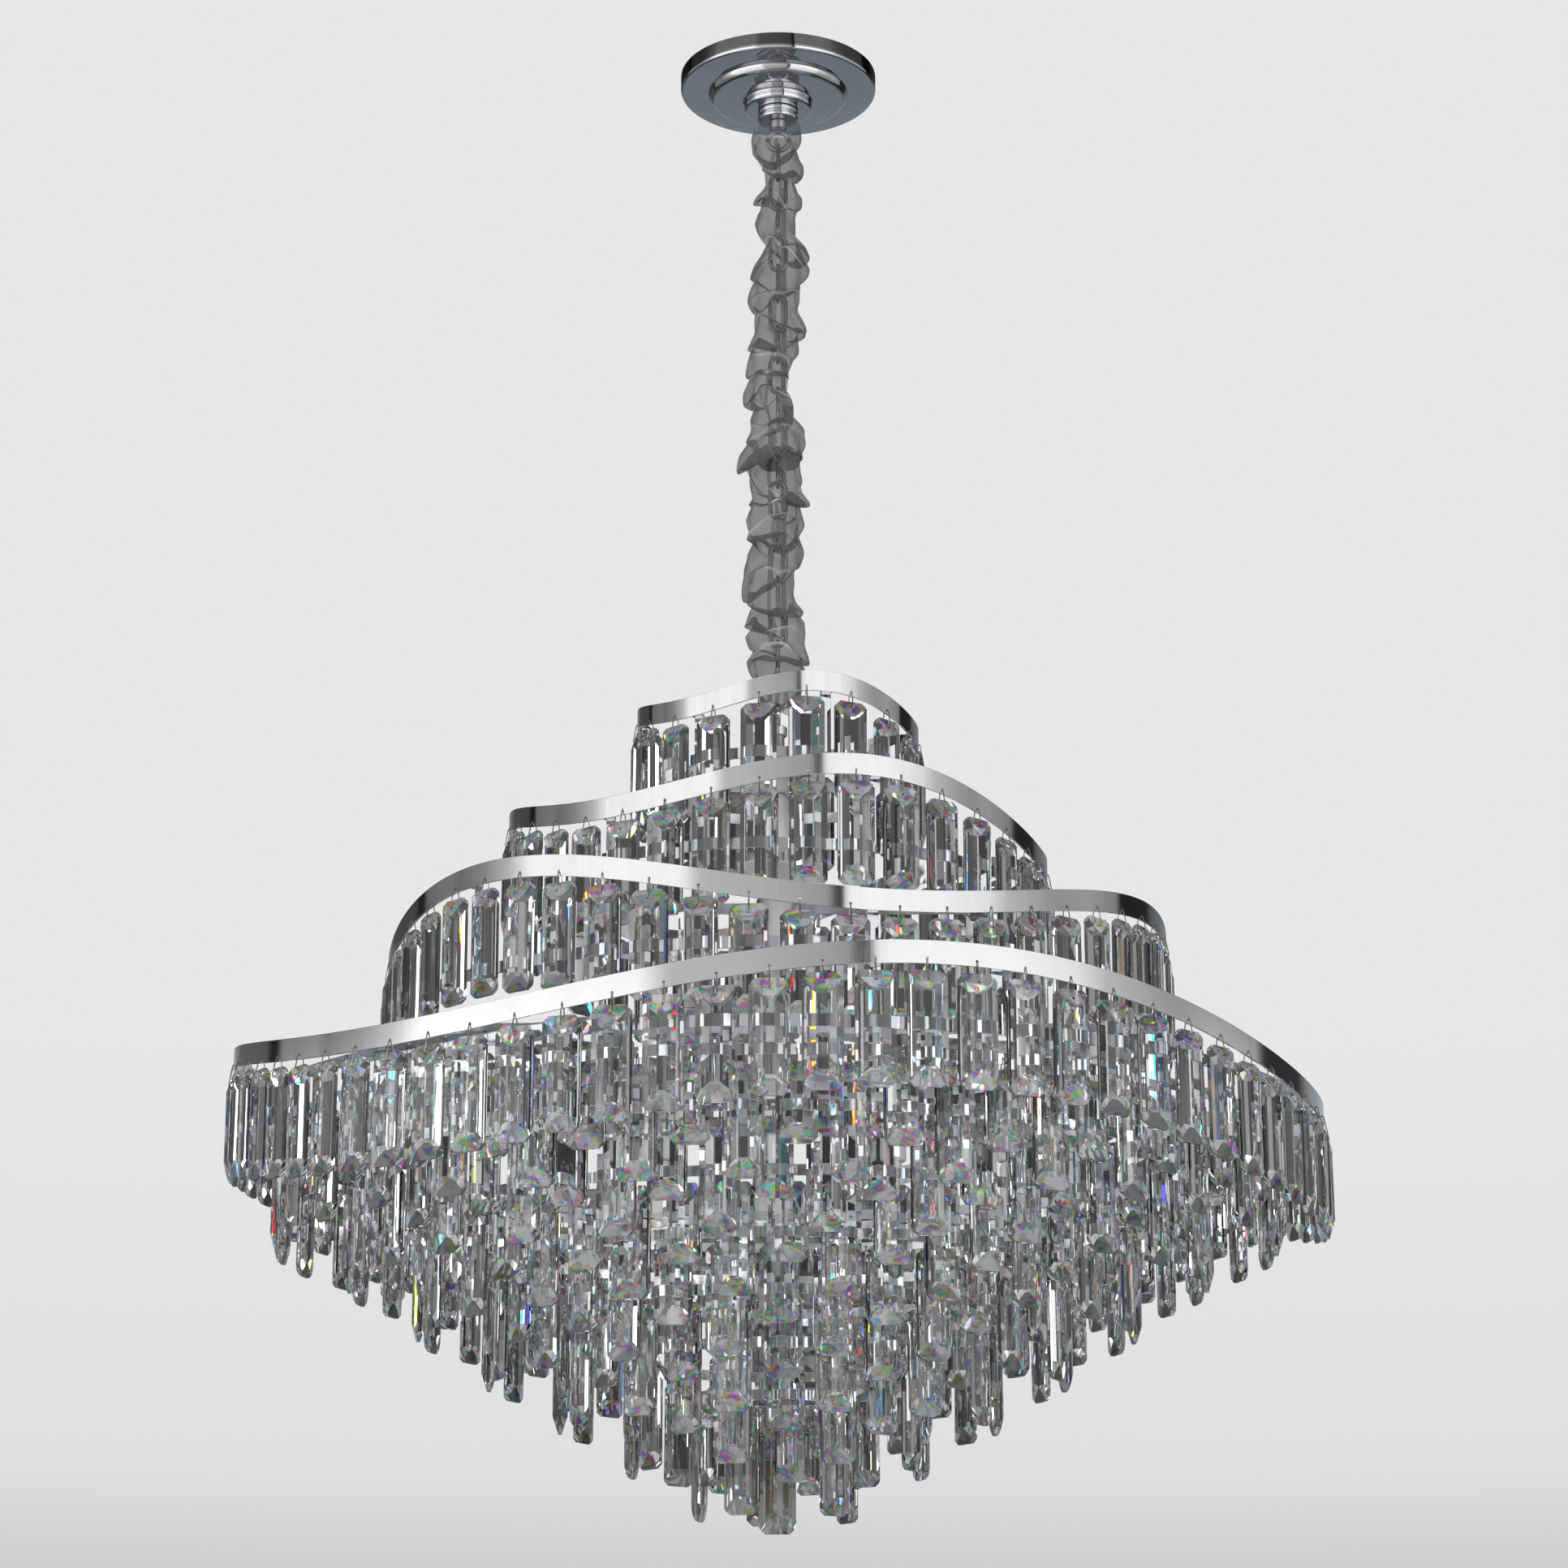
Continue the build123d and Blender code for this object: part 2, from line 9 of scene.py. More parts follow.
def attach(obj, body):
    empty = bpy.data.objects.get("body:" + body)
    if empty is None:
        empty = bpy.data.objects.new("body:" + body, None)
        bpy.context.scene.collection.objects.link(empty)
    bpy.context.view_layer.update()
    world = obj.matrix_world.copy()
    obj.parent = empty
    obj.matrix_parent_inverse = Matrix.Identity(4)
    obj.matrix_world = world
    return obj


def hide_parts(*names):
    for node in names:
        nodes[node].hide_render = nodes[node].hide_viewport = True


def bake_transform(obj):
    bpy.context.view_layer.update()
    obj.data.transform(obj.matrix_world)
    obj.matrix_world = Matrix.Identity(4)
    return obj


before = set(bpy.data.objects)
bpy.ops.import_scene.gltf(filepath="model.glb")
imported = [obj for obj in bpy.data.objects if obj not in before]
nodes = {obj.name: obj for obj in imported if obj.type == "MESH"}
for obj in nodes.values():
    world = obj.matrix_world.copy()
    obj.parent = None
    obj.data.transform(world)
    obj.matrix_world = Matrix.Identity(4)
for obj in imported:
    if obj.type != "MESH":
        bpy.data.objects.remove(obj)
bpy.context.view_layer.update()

scene = bpy.context.scene

# ------------------------------------------------------------------ canopy
# The cover against the ceiling: a steel disc spun on a lathe into two steps
# and a centre boss, then polished and chrome plated. It is held up by the
# collar nut on the threaded nipple.
mm = 0.001        # sizes are written in millimetres, and Blender counts in metres

def step(tree, kind, feeds=(), **settings):
    """Adds a node and sets or joins its inputs, by name or by number."""
    made = tree.nodes.new(kind)
    for key, value in settings.items():
        setattr(made, key, value)
    for key, value in dict(feeds).items():
        if isinstance(value, bpy.types.NodeSocket):
            tree.links.new(value, made.inputs[key])
        else:
            made.inputs[key].default_value = value
    return made.outputs

def sums(tree, operation, *terms, **settings):
    """One sum of a node tree."""
    return step(tree, "ShaderNodeMath", enumerate(terms), operation=operation, **settings)[0]

def noise(tree, place, scale, detail, rough=0.5):
    """Noise over the surface, from 0 to 1."""
    return step(tree, "ShaderNodeTexNoise", {"Vector": place, "Scale": scale, "Detail": detail,
                                             "Roughness": rough})[0]

def remap(tree, value, low, high, from_low=0.0, from_high=1.0):
    """A value stretched to run from low to high, and held there past both ends."""
    return step(tree, "ShaderNodeMapRange", {"Value": value, "From Min": from_low, "From Max": from_high,
                                             "To Min": low, "To Max": high})[0]

def toned(tree, share, first, second, **settings):
    """A colour between two, which are plain colours or colours of the tree."""
    first, second = ((*tone, 1) if isinstance(tone, tuple) else tone for tone in (first, second))
    return step(tree, "ShaderNodeMix", {0: share, 6: first, 7: second}, data_type="RGBA", **settings)[2]

def bumped(tree, height, strength, depth):
    """A normal that follows a height; the depth is in metres."""
    return step(tree, "ShaderNodeBump", {"Strength": strength, "Distance": depth, "Height": height})[0]

def on_piece(tree):
    """The place on a piece, in metres."""
    return step(tree, "ShaderNodeTexCoord")["Object"]

def new_material(name, **plain):
    """A material, its tree and its shader's sockets, some set to plain values."""
    made = bpy.data.materials.new(name)
    made.use_nodes = True
    shader = made.node_tree.nodes["Principled BSDF"].inputs
    for label, value in plain.items():
        shader[label.replace("_", " ")].default_value = value
    return made, made.node_tree, shader

def feed(tree, shader, **sources):
    """Joins outputs of a tree to its shader's sockets."""
    for label, source in sources.items():
        tree.links.new(source, shader[label.replace("_", " ")])

def polish_group():
    """Buffing marks: a slow change of gloss, and fine lines along one direction."""
    group = bpy.data.node_groups.new("buffing marks", "ShaderNodeTree")
    for label, kind in (("Size", "Float"), ("Stretch", "Vector"), ("Bright", "Float"), ("Dull", "Float")):
        group.interface.new_socket(label, in_out="INPUT", socket_type="NodeSocket" + kind)
    for label in ("Roughness", "Height", "Mask"):
        group.interface.new_socket(label, in_out="OUTPUT", socket_type="NodeSocketFloat")
    given = group.nodes.new("NodeGroupInput").outputs
    result = group.nodes.new("NodeGroupOutput").inputs
    place = on_piece(group)
    stretched = step(group, "ShaderNodeVectorMath", {0: place, 1: given["Stretch"]}, operation="MULTIPLY")[0]
    cloudy = noise(group, place, given["Size"], 3.0, 0.55)
    fine = noise(group, stretched, given["Size"], 5.0, 0.7)
    mask = remap(group, sums(group, "MULTIPLY", cloudy, fine), 0.0, 1.0, 0.12, 0.42)
    rough = remap(group, mask, given["Bright"], given["Dull"])
    for made, socket in ((rough, "Roughness"), (fine, "Height"), (mask, "Mask")):
        group.links.new(made, result[socket])
    return group

buffing = polish_group()

def metal(name, light, dark, bright, dull, size=30.0, stretch=(1, 1, 1), grain=0.02):
    """A plated or bare metal: its light and dark tones, and how its gloss changes."""
    made, tree, shader = new_material(name, Metallic=1.0)
    marks = step(tree, "ShaderNodeGroup", {"Size": size, "Stretch": stretch, "Bright": bright, "Dull": dull},
                 node_tree=buffing)
    feed(tree, shader, Base_Color=toned(tree, marks["Mask"], light, dark), Roughness=marks["Roughness"],
         Normal=bumped(tree, marks["Height"], grain, 0.2 * mm))
    return made

chrome = metal("polished chrome", (0.80, 0.81, 0.83), (0.70, 0.71, 0.74), 0.03, 0.09, size=24.0,
               stretch=(1, 1, 6))

def rounded_outline(corners, pieces=6):
    """Outline through (radius, level, rounding) corners, in millimetres, with each corner rounded."""
    flat = []
    for i, (r, z, bend) in enumerate(corners):
        here = Vector((r, z))
        if not bend:
            flat.append(here)
            continue
        before = (Vector(corners[i - 1][:2]) - here).normalized()
        after = (Vector(corners[(i + 1) % len(corners)][:2]) - here).normalized()
        for k in range(pieces + 1):
            t = k / pieces
            flat.append(here + before * bend * (1 - t) ** 2 + after * bend * t ** 2)
    return flat

def new_piece(name, mesh, material=None):
    """An object at the origin for a finished mesh."""
    piece = bpy.data.objects.new(name, mesh)
    scene.collection.objects.link(piece)
    if material:
        mesh.materials.clear()
        mesh.materials.append(material)
    return piece

def made_mesh(work, name):
    """A mesh of what was modelled."""
    mesh = bpy.data.meshes.new(name)
    work.to_mesh(mesh)
    work.free()
    return mesh

def close_up(work):
    """Merges doubled points and turns all faces outwards."""
    bmesh.ops.remove_doubles(work, verts=work.verts, dist=1e-6)
    bmesh.ops.dissolve_degenerate(work, edges=work.edges, dist=1e-7)
    bmesh.ops.recalc_face_normals(work, faces=work.faces)

def smooth_with_edges(mesh, angle=35):
    """Smooth shading, with edges that turn by more than the angle kept sharp."""
    mesh.shade_smooth()
    mesh.set_sharp_from_angle(angle=radians(angle))

def spun(name, corners, material, turns):
    """A closed outline turned once about the upright axis."""
    outline = rounded_outline(corners)
    work = bmesh.new()
    rows = []
    for k in range(turns):
        a = 2 * pi * k / turns
        rows.append([work.verts.new((p.x * mm * cos(a), p.x * mm * sin(a), p.y * mm)) for p in outline])
    for near, far in zip(rows, rows[1:] + rows[:1]):
        for i in range(len(outline)):
            j = (i + 1) % len(outline)
            work.faces.new((near[i], far[i], far[j], near[j]))
    close_up(work)
    mesh = made_mesh(work, name)
    smooth_with_edges(mesh)
    return new_piece(name, mesh, material)

canopy_outline = [
    (77.3, -0.4, 0.5), (77.3, -13.8, 2.2), (60.0, -14.8, 2.0), (54.6, -14.9, 1.6), (54.0, -21.0, 5.2),
    (31.0, -22.0, 3.4), (27.0, -22.6, 1.6), (27.0, -30.0, 3.4), (5.3, -30.0, 0),
    (5.3, -28.8, 0), (25.6, -28.8, 2.2), (25.6, -21.4, 1.4), (31.0, -20.8, 2.6), (52.6, -19.6, 3.6),
    (53.0, -13.6, 1.2), (60.0, -13.6, 1.4), (76.1, -12.6, 1.6), (76.1, -0.4, 0.5)]
spun_canopy = spun("spun_canopy", canopy_outline, chrome, 180)
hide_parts("canopy")
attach(spun_canopy, "ceiling_mount")

# ------------------------------------------------------------------ collar nut
# The turned nut under the canopy: two rounded rings with a groove between
# them, chrome plated. It turns on the nipple's thread.
collar_outline = [
    (5.1, -30.3, 0), (16.0, -30.3, 1.3), (16.0, -34.0, 1.2), (14.2, -34.2, 0.3), (14.2, -35.4, 0.3),
    (16.0, -35.6, 1.2), (16.0, -39.3, 1.3), (5.1, -39.3, 0)]
turned_collar = spun("turned_collar", collar_outline, chrome, 96)
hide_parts("canopy_collar")
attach(turned_collar, "collar")

# ------------------------------------------------------------------ ceiling bracket, nipple and nut
# Out of sight above the canopy: a pressed bar that two screws hold to the
# ceiling, a threaded tube through it and a hexagon nut, all zinc plated.
zinc = metal("zinc plated steel", (0.62, 0.62, 0.60), (0.46, 0.46, 0.45), 0.28, 0.5, size=60.0,
             stretch=(1, 6, 1), grain=0.2)

def dress(node, material):
    """Gives a node of the frame its finish."""
    for place in nodes[node].material_slots:
        place.material = material

for node in ("ceiling_bracket", "bracket_nut", "threaded_nipple"):
    dress(node, zinc)

# ------------------------------------------------------------------ loops
# Two sockets with a welded eye: one screwed up into the collar, one on top of
# the centre stem. Chrome plated steel.
for node in ("canopy_loop", "fixture_loop"):
    dress(node, chrome)

# ------------------------------------------------------------------ chain
# Long round-wire links, bent cold and butt welded on one side, each standing
# across the next. Bright plated steel. The top link and the two lowest ones
# each swing on their own.
link_wire, link_bow, link_straight = 1.6, 6.0, 17.3      # radius of wire and bow, and length of the straight
link_pitch, first_link = 25.8, -74.55                    # drop from link to link, and level of the first
weld_at, weld_swell = 4, 0.07        # point of the path with the weld, and how much thicker the wire is there
chain_steel = metal("bright chain steel", (0.74, 0.74, 0.75), (0.52, 0.52, 0.54), 0.1, 0.24, size=90.0)

def swept(name, path, radius, sides, swell=()):
    """A closed loop of round wire through millimetre points; swell gives the wire's share at each point."""
    work = bmesh.new()
    path = [Vector(p) for p in path]
    rings = []
    side = None
    for i, p in enumerate(path):
        run = (path[(i + 1) % len(path)] - path[i - 1]).normalized()
        if side is None:
            side = run.orthogonal().normalized()
        side = (side - run * side.dot(run)).normalized()
        up = run.cross(side)
        reach = radius * (swell[i] if swell else 1.0)
        turns = [2 * pi * k / sides for k in range(sides)]
        rings.append([work.verts.new((p + (side * cos(a) + up * sin(a)) * reach) * mm) for a in turns])
    for near, far in zip(rings, rings[1:] + rings[:1]):
        for k in range(sides):
            j = (k + 1) % sides
            work.faces.new((near[k], near[j], far[j], far[k]))
    bmesh.ops.recalc_face_normals(work, faces=work.faces)
    mesh = made_mesh(work, name)
    smooth_with_edges(mesh, 60)
    return mesh

def link_path():
    """Centre line of one link, standing in the YZ plane about the origin."""
    half = link_straight / 2
    levels, turns = np.linspace(-half, half, 9), np.linspace(0, pi, 11)[1:-1]
    path = [(0, link_bow, z) for z in levels]
    path += [(0, link_bow * cos(a), half + link_bow * sin(a)) for a in turns]
    path += [(0, -link_bow, -z) for z in levels]
    path += [(0, -link_bow * cos(a), -half - link_bow * sin(a)) for a in turns]
    return path

welded = [1.0 + weld_swell * (i == weld_at) for i in range(len(link_path()))]
one_link = new_piece("one_link", swept("one_link", link_path(), link_wire, sides=10, swell=welded),
                     chain_steel)

def new_tree(name, inputs, gives=("Geometry", "Geometry")):
    """A tree of Geometry Nodes with named inputs, its given sockets and its result."""
    tree = bpy.data.node_groups.new(name, "GeometryNodeTree")
    for way, sockets in (("OUTPUT", (gives,)), ("INPUT", inputs)):
        for label, kind in sockets:
            tree.interface.new_socket(label, in_out=way, socket_type="NodeSocket" + kind)
    return tree, tree.nodes.new("NodeGroupInput").outputs, tree.nodes.new("NodeGroupOutput").inputs

def close_tree(tree, shape, material, result):
    """The last two steps of each tree: real geometry, and its material."""
    solid = step(tree, "GeometryNodeRealizeInstances", {0: shape})[0]
    dressed = step(tree, "GeometryNodeSetMaterial", {"Geometry": solid, "Material": material})[0]
    tree.links.new(dressed, result[0])
    return tree

def shape_of(tree, thing):
    """The shape of an object that a tree is given."""
    return step(tree, "GeometryNodeObjectInfo", {"Object": thing, "As Instance": True})["Geometry"]

def placed_on(tree, points, shape, **turns):
    """A shape at each point, turned about X and Z."""
    aim = step(tree, "ShaderNodeCombineXYZ", turns)[0]
    return step(tree, "GeometryNodeInstanceOnPoints", {"Points": points, "Instance": shape,
                                                       "Rotation": aim})[0]

def chain_tree():
    """Links down a line, each a quarter turn on from the last."""
    tree, given, result = new_tree("links down a line", (
        ("Link", "Object"), ("Count", "Int"), ("First Level", "Float"), ("Pitch", "Float"),
        ("First Turn", "Float"), ("Material", "Material")))
    start = step(tree, "ShaderNodeCombineXYZ", {"Z": given["First Level"]})[0]
    drop = step(tree, "ShaderNodeCombineXYZ", {"Z": sums(tree, "MULTIPLY", given["Pitch"], -1.0)})[0]
    line = step(tree, "GeometryNodeMeshLine", {"Count": given["Count"], "Start Location": start,
                                               "Offset": drop})[0]
    index = step(tree, "GeometryNodeInputIndex")[0]
    quarter = sums(tree, "MULTIPLY", sums(tree, "MODULO", index, 2.0), 90.0)
    turn = sums(tree, "RADIANS", sums(tree, "ADD", quarter, given["First Turn"]))
    placed = placed_on(tree, line, shape_of(tree, given["Link"]), Z=turn)
    return close_tree(tree, placed, given["Material"], result)

def grown(name, tree, material, places=None, **sizes):
    """One piece grown by a tree, kept as a plain mesh. Names of inputs are written with underscores."""
    host = new_piece(name, places or bpy.data.meshes.new(name))
    maker = host.modifiers.new("tree", "NODES")
    maker.node_group = tree
    sockets = {s.name: s.identifier for s in tree.interface.items_tree if s.in_out == "INPUT"}
    maker[sockets["Material"]] = material
    for label, value in sizes.items():
        maker[sockets[label.replace("_", " ")]] = value
    host.update_tag()
    graph = bpy.context.evaluated_depsgraph_get()
    mesh = bpy.data.meshes.new_from_object(host.evaluated_get(graph), preserve_all_data_layers=True,
                                           depsgraph=graph)
    host.modifiers.remove(maker)
    host.data = mesh
    mesh.name = name
    return host

links = chain_tree()
for name, body, count, first in (("top_chain_link", "top_link", 1, 0), ("chain_links", "chain", 15, 1),
                                 ("swivel_chain_link", "swivel_link", 1, 16),
                                 ("lower_chain_link", "lower_link", 1, 17)):
    piece = grown(name, links, chain_steel, Link=one_link, Count=count, Pitch=link_pitch * mm,
                  First_Level=(first_link - link_pitch * first) * mm, First_Turn=90.0 * (first % 2))
    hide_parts(body)
    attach(piece, body)
bpy.data.objects.remove(one_link)

# ------------------------------------------------------------------ supply cable
# Clear round cable, pushed up beside the chain from the stem to the canopy.
# Its copper shows faintly through the soft plastic.
cable_plastic, tree, shader = new_material("clear cable plastic", Roughness=0.16, Coat_Weight=0.6,
                                           Transmission_Weight=0.35)
strands = noise(tree, on_piece(tree), 400.0, 2.0)
feed(tree, shader, Base_Color=toned(tree, strands, (0.78, 0.76, 0.72), (0.60, 0.55, 0.47)))
dress("supply_cable", cable_plastic)

# ------------------------------------------------------------------ organza sleeve
# A tube of sheer grey organza, about 1.4 times as long as the stretch of chain
# that it covers, pushed together into ruffles and held by two drawn hems.
sleeve_top, sleeve_length = -43.0, 486.0
sleeve_width = [          # level, left and right edge seen from the front, in millimetres
    (-43, -20, 20), (-52, -22, 20), (-61, -24, 18), (-79, -14, 21), (-93, -13, 18), (-103, -18, 22),
    (-128, -20, 17), (-141, -15, 15), (-151, -15, 22), (-168, -20, 26), (-180, -23, 22), (-200, -22, 19),
    (-219, -22, 22), (-237, -26, 19), (-250, -24, 10), (-270, -26, 9), (-286, -23, 13), (-303, -24, 23),
    (-324, -31, 21), (-337, -30, 19), (-353, -24, 20), (-361, -22, 24), (-374, -26, 21), (-384, -22, 20),
    (-404, -28, 21), (-428, -27, 16), (-442, -26, 15), (-457, -24, 23), (-469, -28, 23), (-482, -20, 24),
    (-490, -24, 25), (-498, -21, 26), (-515, -20, 22), (-529, -17, 17)]
least_round = 8.8         # radius that the chain and the cable take up inside
sleeve_deep = 17.5        # mean reach of the cloth to the front and the back
room_beside, room_before = 3.4, 2.4       # taken off those reaches, for what the folds add again
ruffles = [               # share of the length, side it hangs out to, width, push, overhang, tilt
    (0.030, 200, 0.014, 3.0, 6, 0.010), (0.085, 40, 0.016, 3.0, 8, 0.016),
    (0.135, 250, 0.012, 3.5, 7, -0.014), (0.215, 120, 0.018, 4.5, 11, 0.014),
    (0.262, 20, 0.013, 4.0, 8, -0.020), (0.300, 300, 0.012, 3.0, 7, 0.012),
    (0.352, 90, 0.014, 3.5, 8, 0.018), (0.395, 210, 0.012, 3.0, 7, -0.016),
    (0.432, 330, 0.014, 3.5, 9, 0.014), (0.470, 250, 0.015, 4.0, 9, 0.012),
    (0.515, 60, 0.012, 4.0, 8, -0.016), (0.548, 160, 0.012, 4.5, 9, 0.014),
    (0.580, 280, 0.014, 6.0, 12, 0.010), (0.612, 330, 0.012, 4.0, 8, -0.018),
    (0.640, 100, 0.011, 4.0, 8, 0.016), (0.668, 20, 0.011, 3.5, 8, -0.012),
    (0.696, 200, 0.012, 4.0, 8, 0.014), (0.730, 300, 0.014, 4.0, 9, -0.012),
    (0.775, 240, 0.016, 3.5, 9, 0.016), (0.830, 30, 0.014, 4.0, 9, 0.012),
    (0.868, 290, 0.012, 4.0, 8, -0.014), (0.902, 120, 0.012, 4.0, 8, 0.012),
    (0.935, 350, 0.012, 4.5, 9, -0.010), (0.965, 220, 0.012, 3.5, 7, 0.012)]

def gathered_sleeve(columns=96, rows=560, lap=0.16):
    """The ruffled tube: each ruffle drops outwards over its own rim and tucks in under it."""
    draw = np.random.default_rng(7)
    s = np.linspace(0, 1, rows)[:, None]
    u = np.linspace(-pi, pi + lap, columns + 1)[None, :] + 2 * pi
    drift = 0.35 * np.sin(2 * pi * s * 1.3 + 0.4) + 0.25 * np.sin(2 * pi * s * 3.1 + 2.0)
    level = sleeve_top - sleeve_length * s + 0 * u
    push = np.zeros(level.shape)
    rim = np.zeros(level.shape)
    for share, side, width, out, over, tilt in ruffles:
        lean = np.cos(u - radians(side) + drift)
        wander = 0.006 * np.sin(2 * u + share * 40) + 0.003 * np.sin(3 * u + share * 90)
        p = (s - share - tilt * lean - wander) / (width * (1 + 0.3 * np.sin(u + share * 50)))
        round_it = 0.35 + 0.65 * (0.5 + 0.5 * lean) ** 1.3
        push += round_it * out * 1.25 * (np.exp(-(p + 0.75) ** 2) - 0.75 * np.exp(-(p - 0.75) ** 2))
        level += round_it * over * 2.0 * p * np.exp(-p ** 2)
        # rim: a mask along the outer edge of each fold, used as a painted highlight that makes the cloth's
        # colour lighter there
        rim = np.maximum(rim, round_it * np.exp(-((p - 0.62) / 0.14) ** 2))
    crease = np.zeros(level.shape)
    for m, size in ((2, 0.9), (3, 0.9), (5, 0.8), (7, 0.6), (9, 0.35)):
        slow = sum(draw.uniform(0.5, 1.4) * np.sin(2 * pi * s * draw.uniform(1, 9) + draw.uniform(0, 6.3))
                   for _ in range(3))
        swell = 0.6 + 0.4 * np.sin(2 * pi * s * draw.uniform(4, 11) + draw.uniform(0, 6.3))
        crease += size * swell * np.sin(m * u + 1.3 * slow + draw.uniform(0, 6.3))
    crumple = np.zeros(level.shape)
    for _ in range(10):
        along, about = draw.uniform(10, 40), int(draw.integers(1, 6))
        crumple += draw.uniform(0.10, 0.26) * np.sin(2 * pi * along * s + about * u + draw.uniform(0, 6.3))
    levels, left, right = (np.array(c, float)[::-1] for c in zip(*sleeve_width))
    left, right = np.interp(level, levels, left), np.interp(level, levels, right)
    middle, half = (left + right) / 2, (right - left) / 2
    deep = sleeve_deep + 2.5 * np.sin(2 * pi * 4.3 * s + 1.0) + 1.5 * np.sin(2 * pi * 9.1 * s)
    back = 2.0 * np.sin(2 * pi * 2.7 * s + 0.5) + 1.2 * np.sin(2 * pi * 6.3 * s + 2.2)
    lapped = 0.7 * np.linspace(0, 1, columns + 1)[None, :] ** 12
    shape = push + crease + crumple + lapped
    x = middle + np.maximum(half - room_beside + shape, least_round) * np.sin(u)
    y = back - np.maximum(deep - room_before + shape, least_round) * np.cos(u)
    points = np.stack([x, y, level + 0.4 * crease], axis=-1) * mm
    across = columns + 1
    faces = [(i * across + j, i * across + j + 1, (i + 1) * across + j + 1, (i + 1) * across + j)
             for i in range(rows - 1) for j in range(columns)]
    mesh = bpy.data.meshes.new("organza_tube")
    mesh.from_pydata(points.reshape(-1, 3).tolist(), [], faces)
    run = np.zeros(level.shape)
    run[1:] = np.cumsum(np.linalg.norm(np.diff(points, axis=0), axis=2), axis=0)
    width = np.zeros(level.shape)
    width[:, 1:] = np.cumsum(np.linalg.norm(np.diff(points, axis=1), axis=2), axis=1)
    flat_spots = np.stack([width.mean(axis=0)[None, :] + 0 * run, run], axis=-1).reshape(-1, 2)
    corners = np.zeros(len(mesh.loops), dtype=int)
    mesh.loops.foreach_get("vertex_index", corners)
    mesh.uv_layers.new(name="cloth").data.foreach_set("uv", flat_spots[corners].ravel())
    mesh.attributes.new("painted_fold_highlight", "FLOAT", "POINT").data.foreach_set("value", rim.ravel())
    mesh.shade_smooth()
    return mesh

organza, weave, cloth = new_material("sheer grey organza", Roughness=0.55, Sheen_Weight=0.8,
                                     Sheen_Roughness=0.3)
flat_place = step(weave, "ShaderNodeUVMap", uv_map="cloth")[0]
thread_waves = {"Vector": flat_place, "Scale": 420.0, "Distortion": 1.2, "Detail": 1.0}
warp, weft = (step(weave, "ShaderNodeTexWave", thread_waves, bands_direction=way)[1] for way in ("X", "Y"))
crossing = sums(weave, "MAXIMUM", warp, weft)
patchy = noise(weave, on_piece(weave), 60.0, 4.0)
# the fold rims: a painted highlight that lightens the base colour there; the cloth is also made more opaque
# there
rim = step(weave, "ShaderNodeAttribute", attribute_name="painted_fold_highlight")["Fac"]
edge_on = step(weave, "ShaderNodeLayerWeight", {"Blend": 0.42})["Facing"]
seen = remap(weave, edge_on, 0.50, 0.98, 0.25, 1.0)
for change in (remap(weave, crossing, 0.82, 1.12), remap(weave, patchy, 0.88, 1.12)):
    seen = sums(weave, "MULTIPLY", seen, change)
seen = sums(weave, "MULTIPLY_ADD", rim, 0.45, seen, use_clamp=True)
grey = toned(weave, patchy, (0.060, 0.060, 0.062), (0.12, 0.12, 0.124))
# base colour: the patchy grey, turned to pale grey along the fold rims as a painted highlight
feed(weave, cloth, Alpha=seen, Base_Color=toned(weave, rim, grey, (0.62, 0.62, 0.64)),
     Normal=bumped(weave, crossing, 0.15, 0.2 * mm))

gathered_organza = new_piece("gathered_organza", gathered_sleeve(), organza)
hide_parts("organza_sleeve")
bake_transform(gathered_organza)

# ------------------------------------------------------------------ stem and nuts
# A solid steel rod through all four frames down to the cone's hub, each hub
# held between two hexagon nuts. The eye plate for the last crystal is welded
# to its foot.
for node in ("centre_stem", "stem_nuts"):
    dress(node, zinc)

# ------------------------------------------------------------------ wavy bands
# Four hoops of stainless strip cut in waves on a laser, with a row of small
# holes along the lower edge, rolled round, welded and polished to a mirror.
band_height, band_thick = 15.3, 1.5
band_rim, band_hole = 3.4, 1.1           # from the lower edge up to the holes, and radius of a hole
tiers = [   # radius, mean level, holes, first hole, rise of three waves, its angle, rise of two, its angle
    (105.3, -547.6, 19, -64.4, 8.1, 20.1, 0.9, -38.9),
    (200.0, -642.1, 37, -42.6, 17.8, 21.8, 7.7, -47.2),
    (286.2, -732.5, 53, -58.2, 19.9, -48.7, 5.0, -9.7),
    (395.0, -828.6, 74, -78.6, 23.9, 19.0, 6.9, -48.7)]
mirror_strip = metal("mirror polished strip", (0.91, 0.92, 0.93), (0.78, 0.79, 0.81), 0.035, 0.13,
                     size=16.0, stretch=(9, 9, 0.6), grain=0.05)
strip_rounding, strip_sharp = 0.25, 0.3     # of the strip's edges: radius, and bend that still shades smooth

wave_inputs = (("Mean Level", "Float"), ("Rise Three", "Float"), ("Angle Three", "Float"),
               ("Rise Two", "Float"), ("Angle Two", "Float"))

def wave_group():
    """Level of the hole row at an angle from the front, both in degrees and metres."""
    group, given, result = new_tree("level of the wave", (("Angle", "Float"), *wave_inputs),
                                    ("Level", "Float"))
    level = given["Mean Level"]
    for lobes, word in ((3.0, "Three"), (2.0, "Two")):
        off = sums(group, "SUBTRACT", given["Angle"], given["Angle " + word])
        swing = sums(group, "COSINE", sums(group, "RADIANS", sums(group, "MULTIPLY", off, lobes)))
        level = sums(group, "MULTIPLY_ADD", swing, given["Rise " + word], level)
    group.links.new(level, result[0])
    return group

wave_level = wave_group()

def at_angle(tree, given, angle):
    """The wave's level at an angle socket."""
    feeds = {"Angle": angle, **{label: given[label] for label, _ in wave_inputs}}
    return step(tree, "GeometryNodeGroup", feeds, node_tree=wave_level)[0]

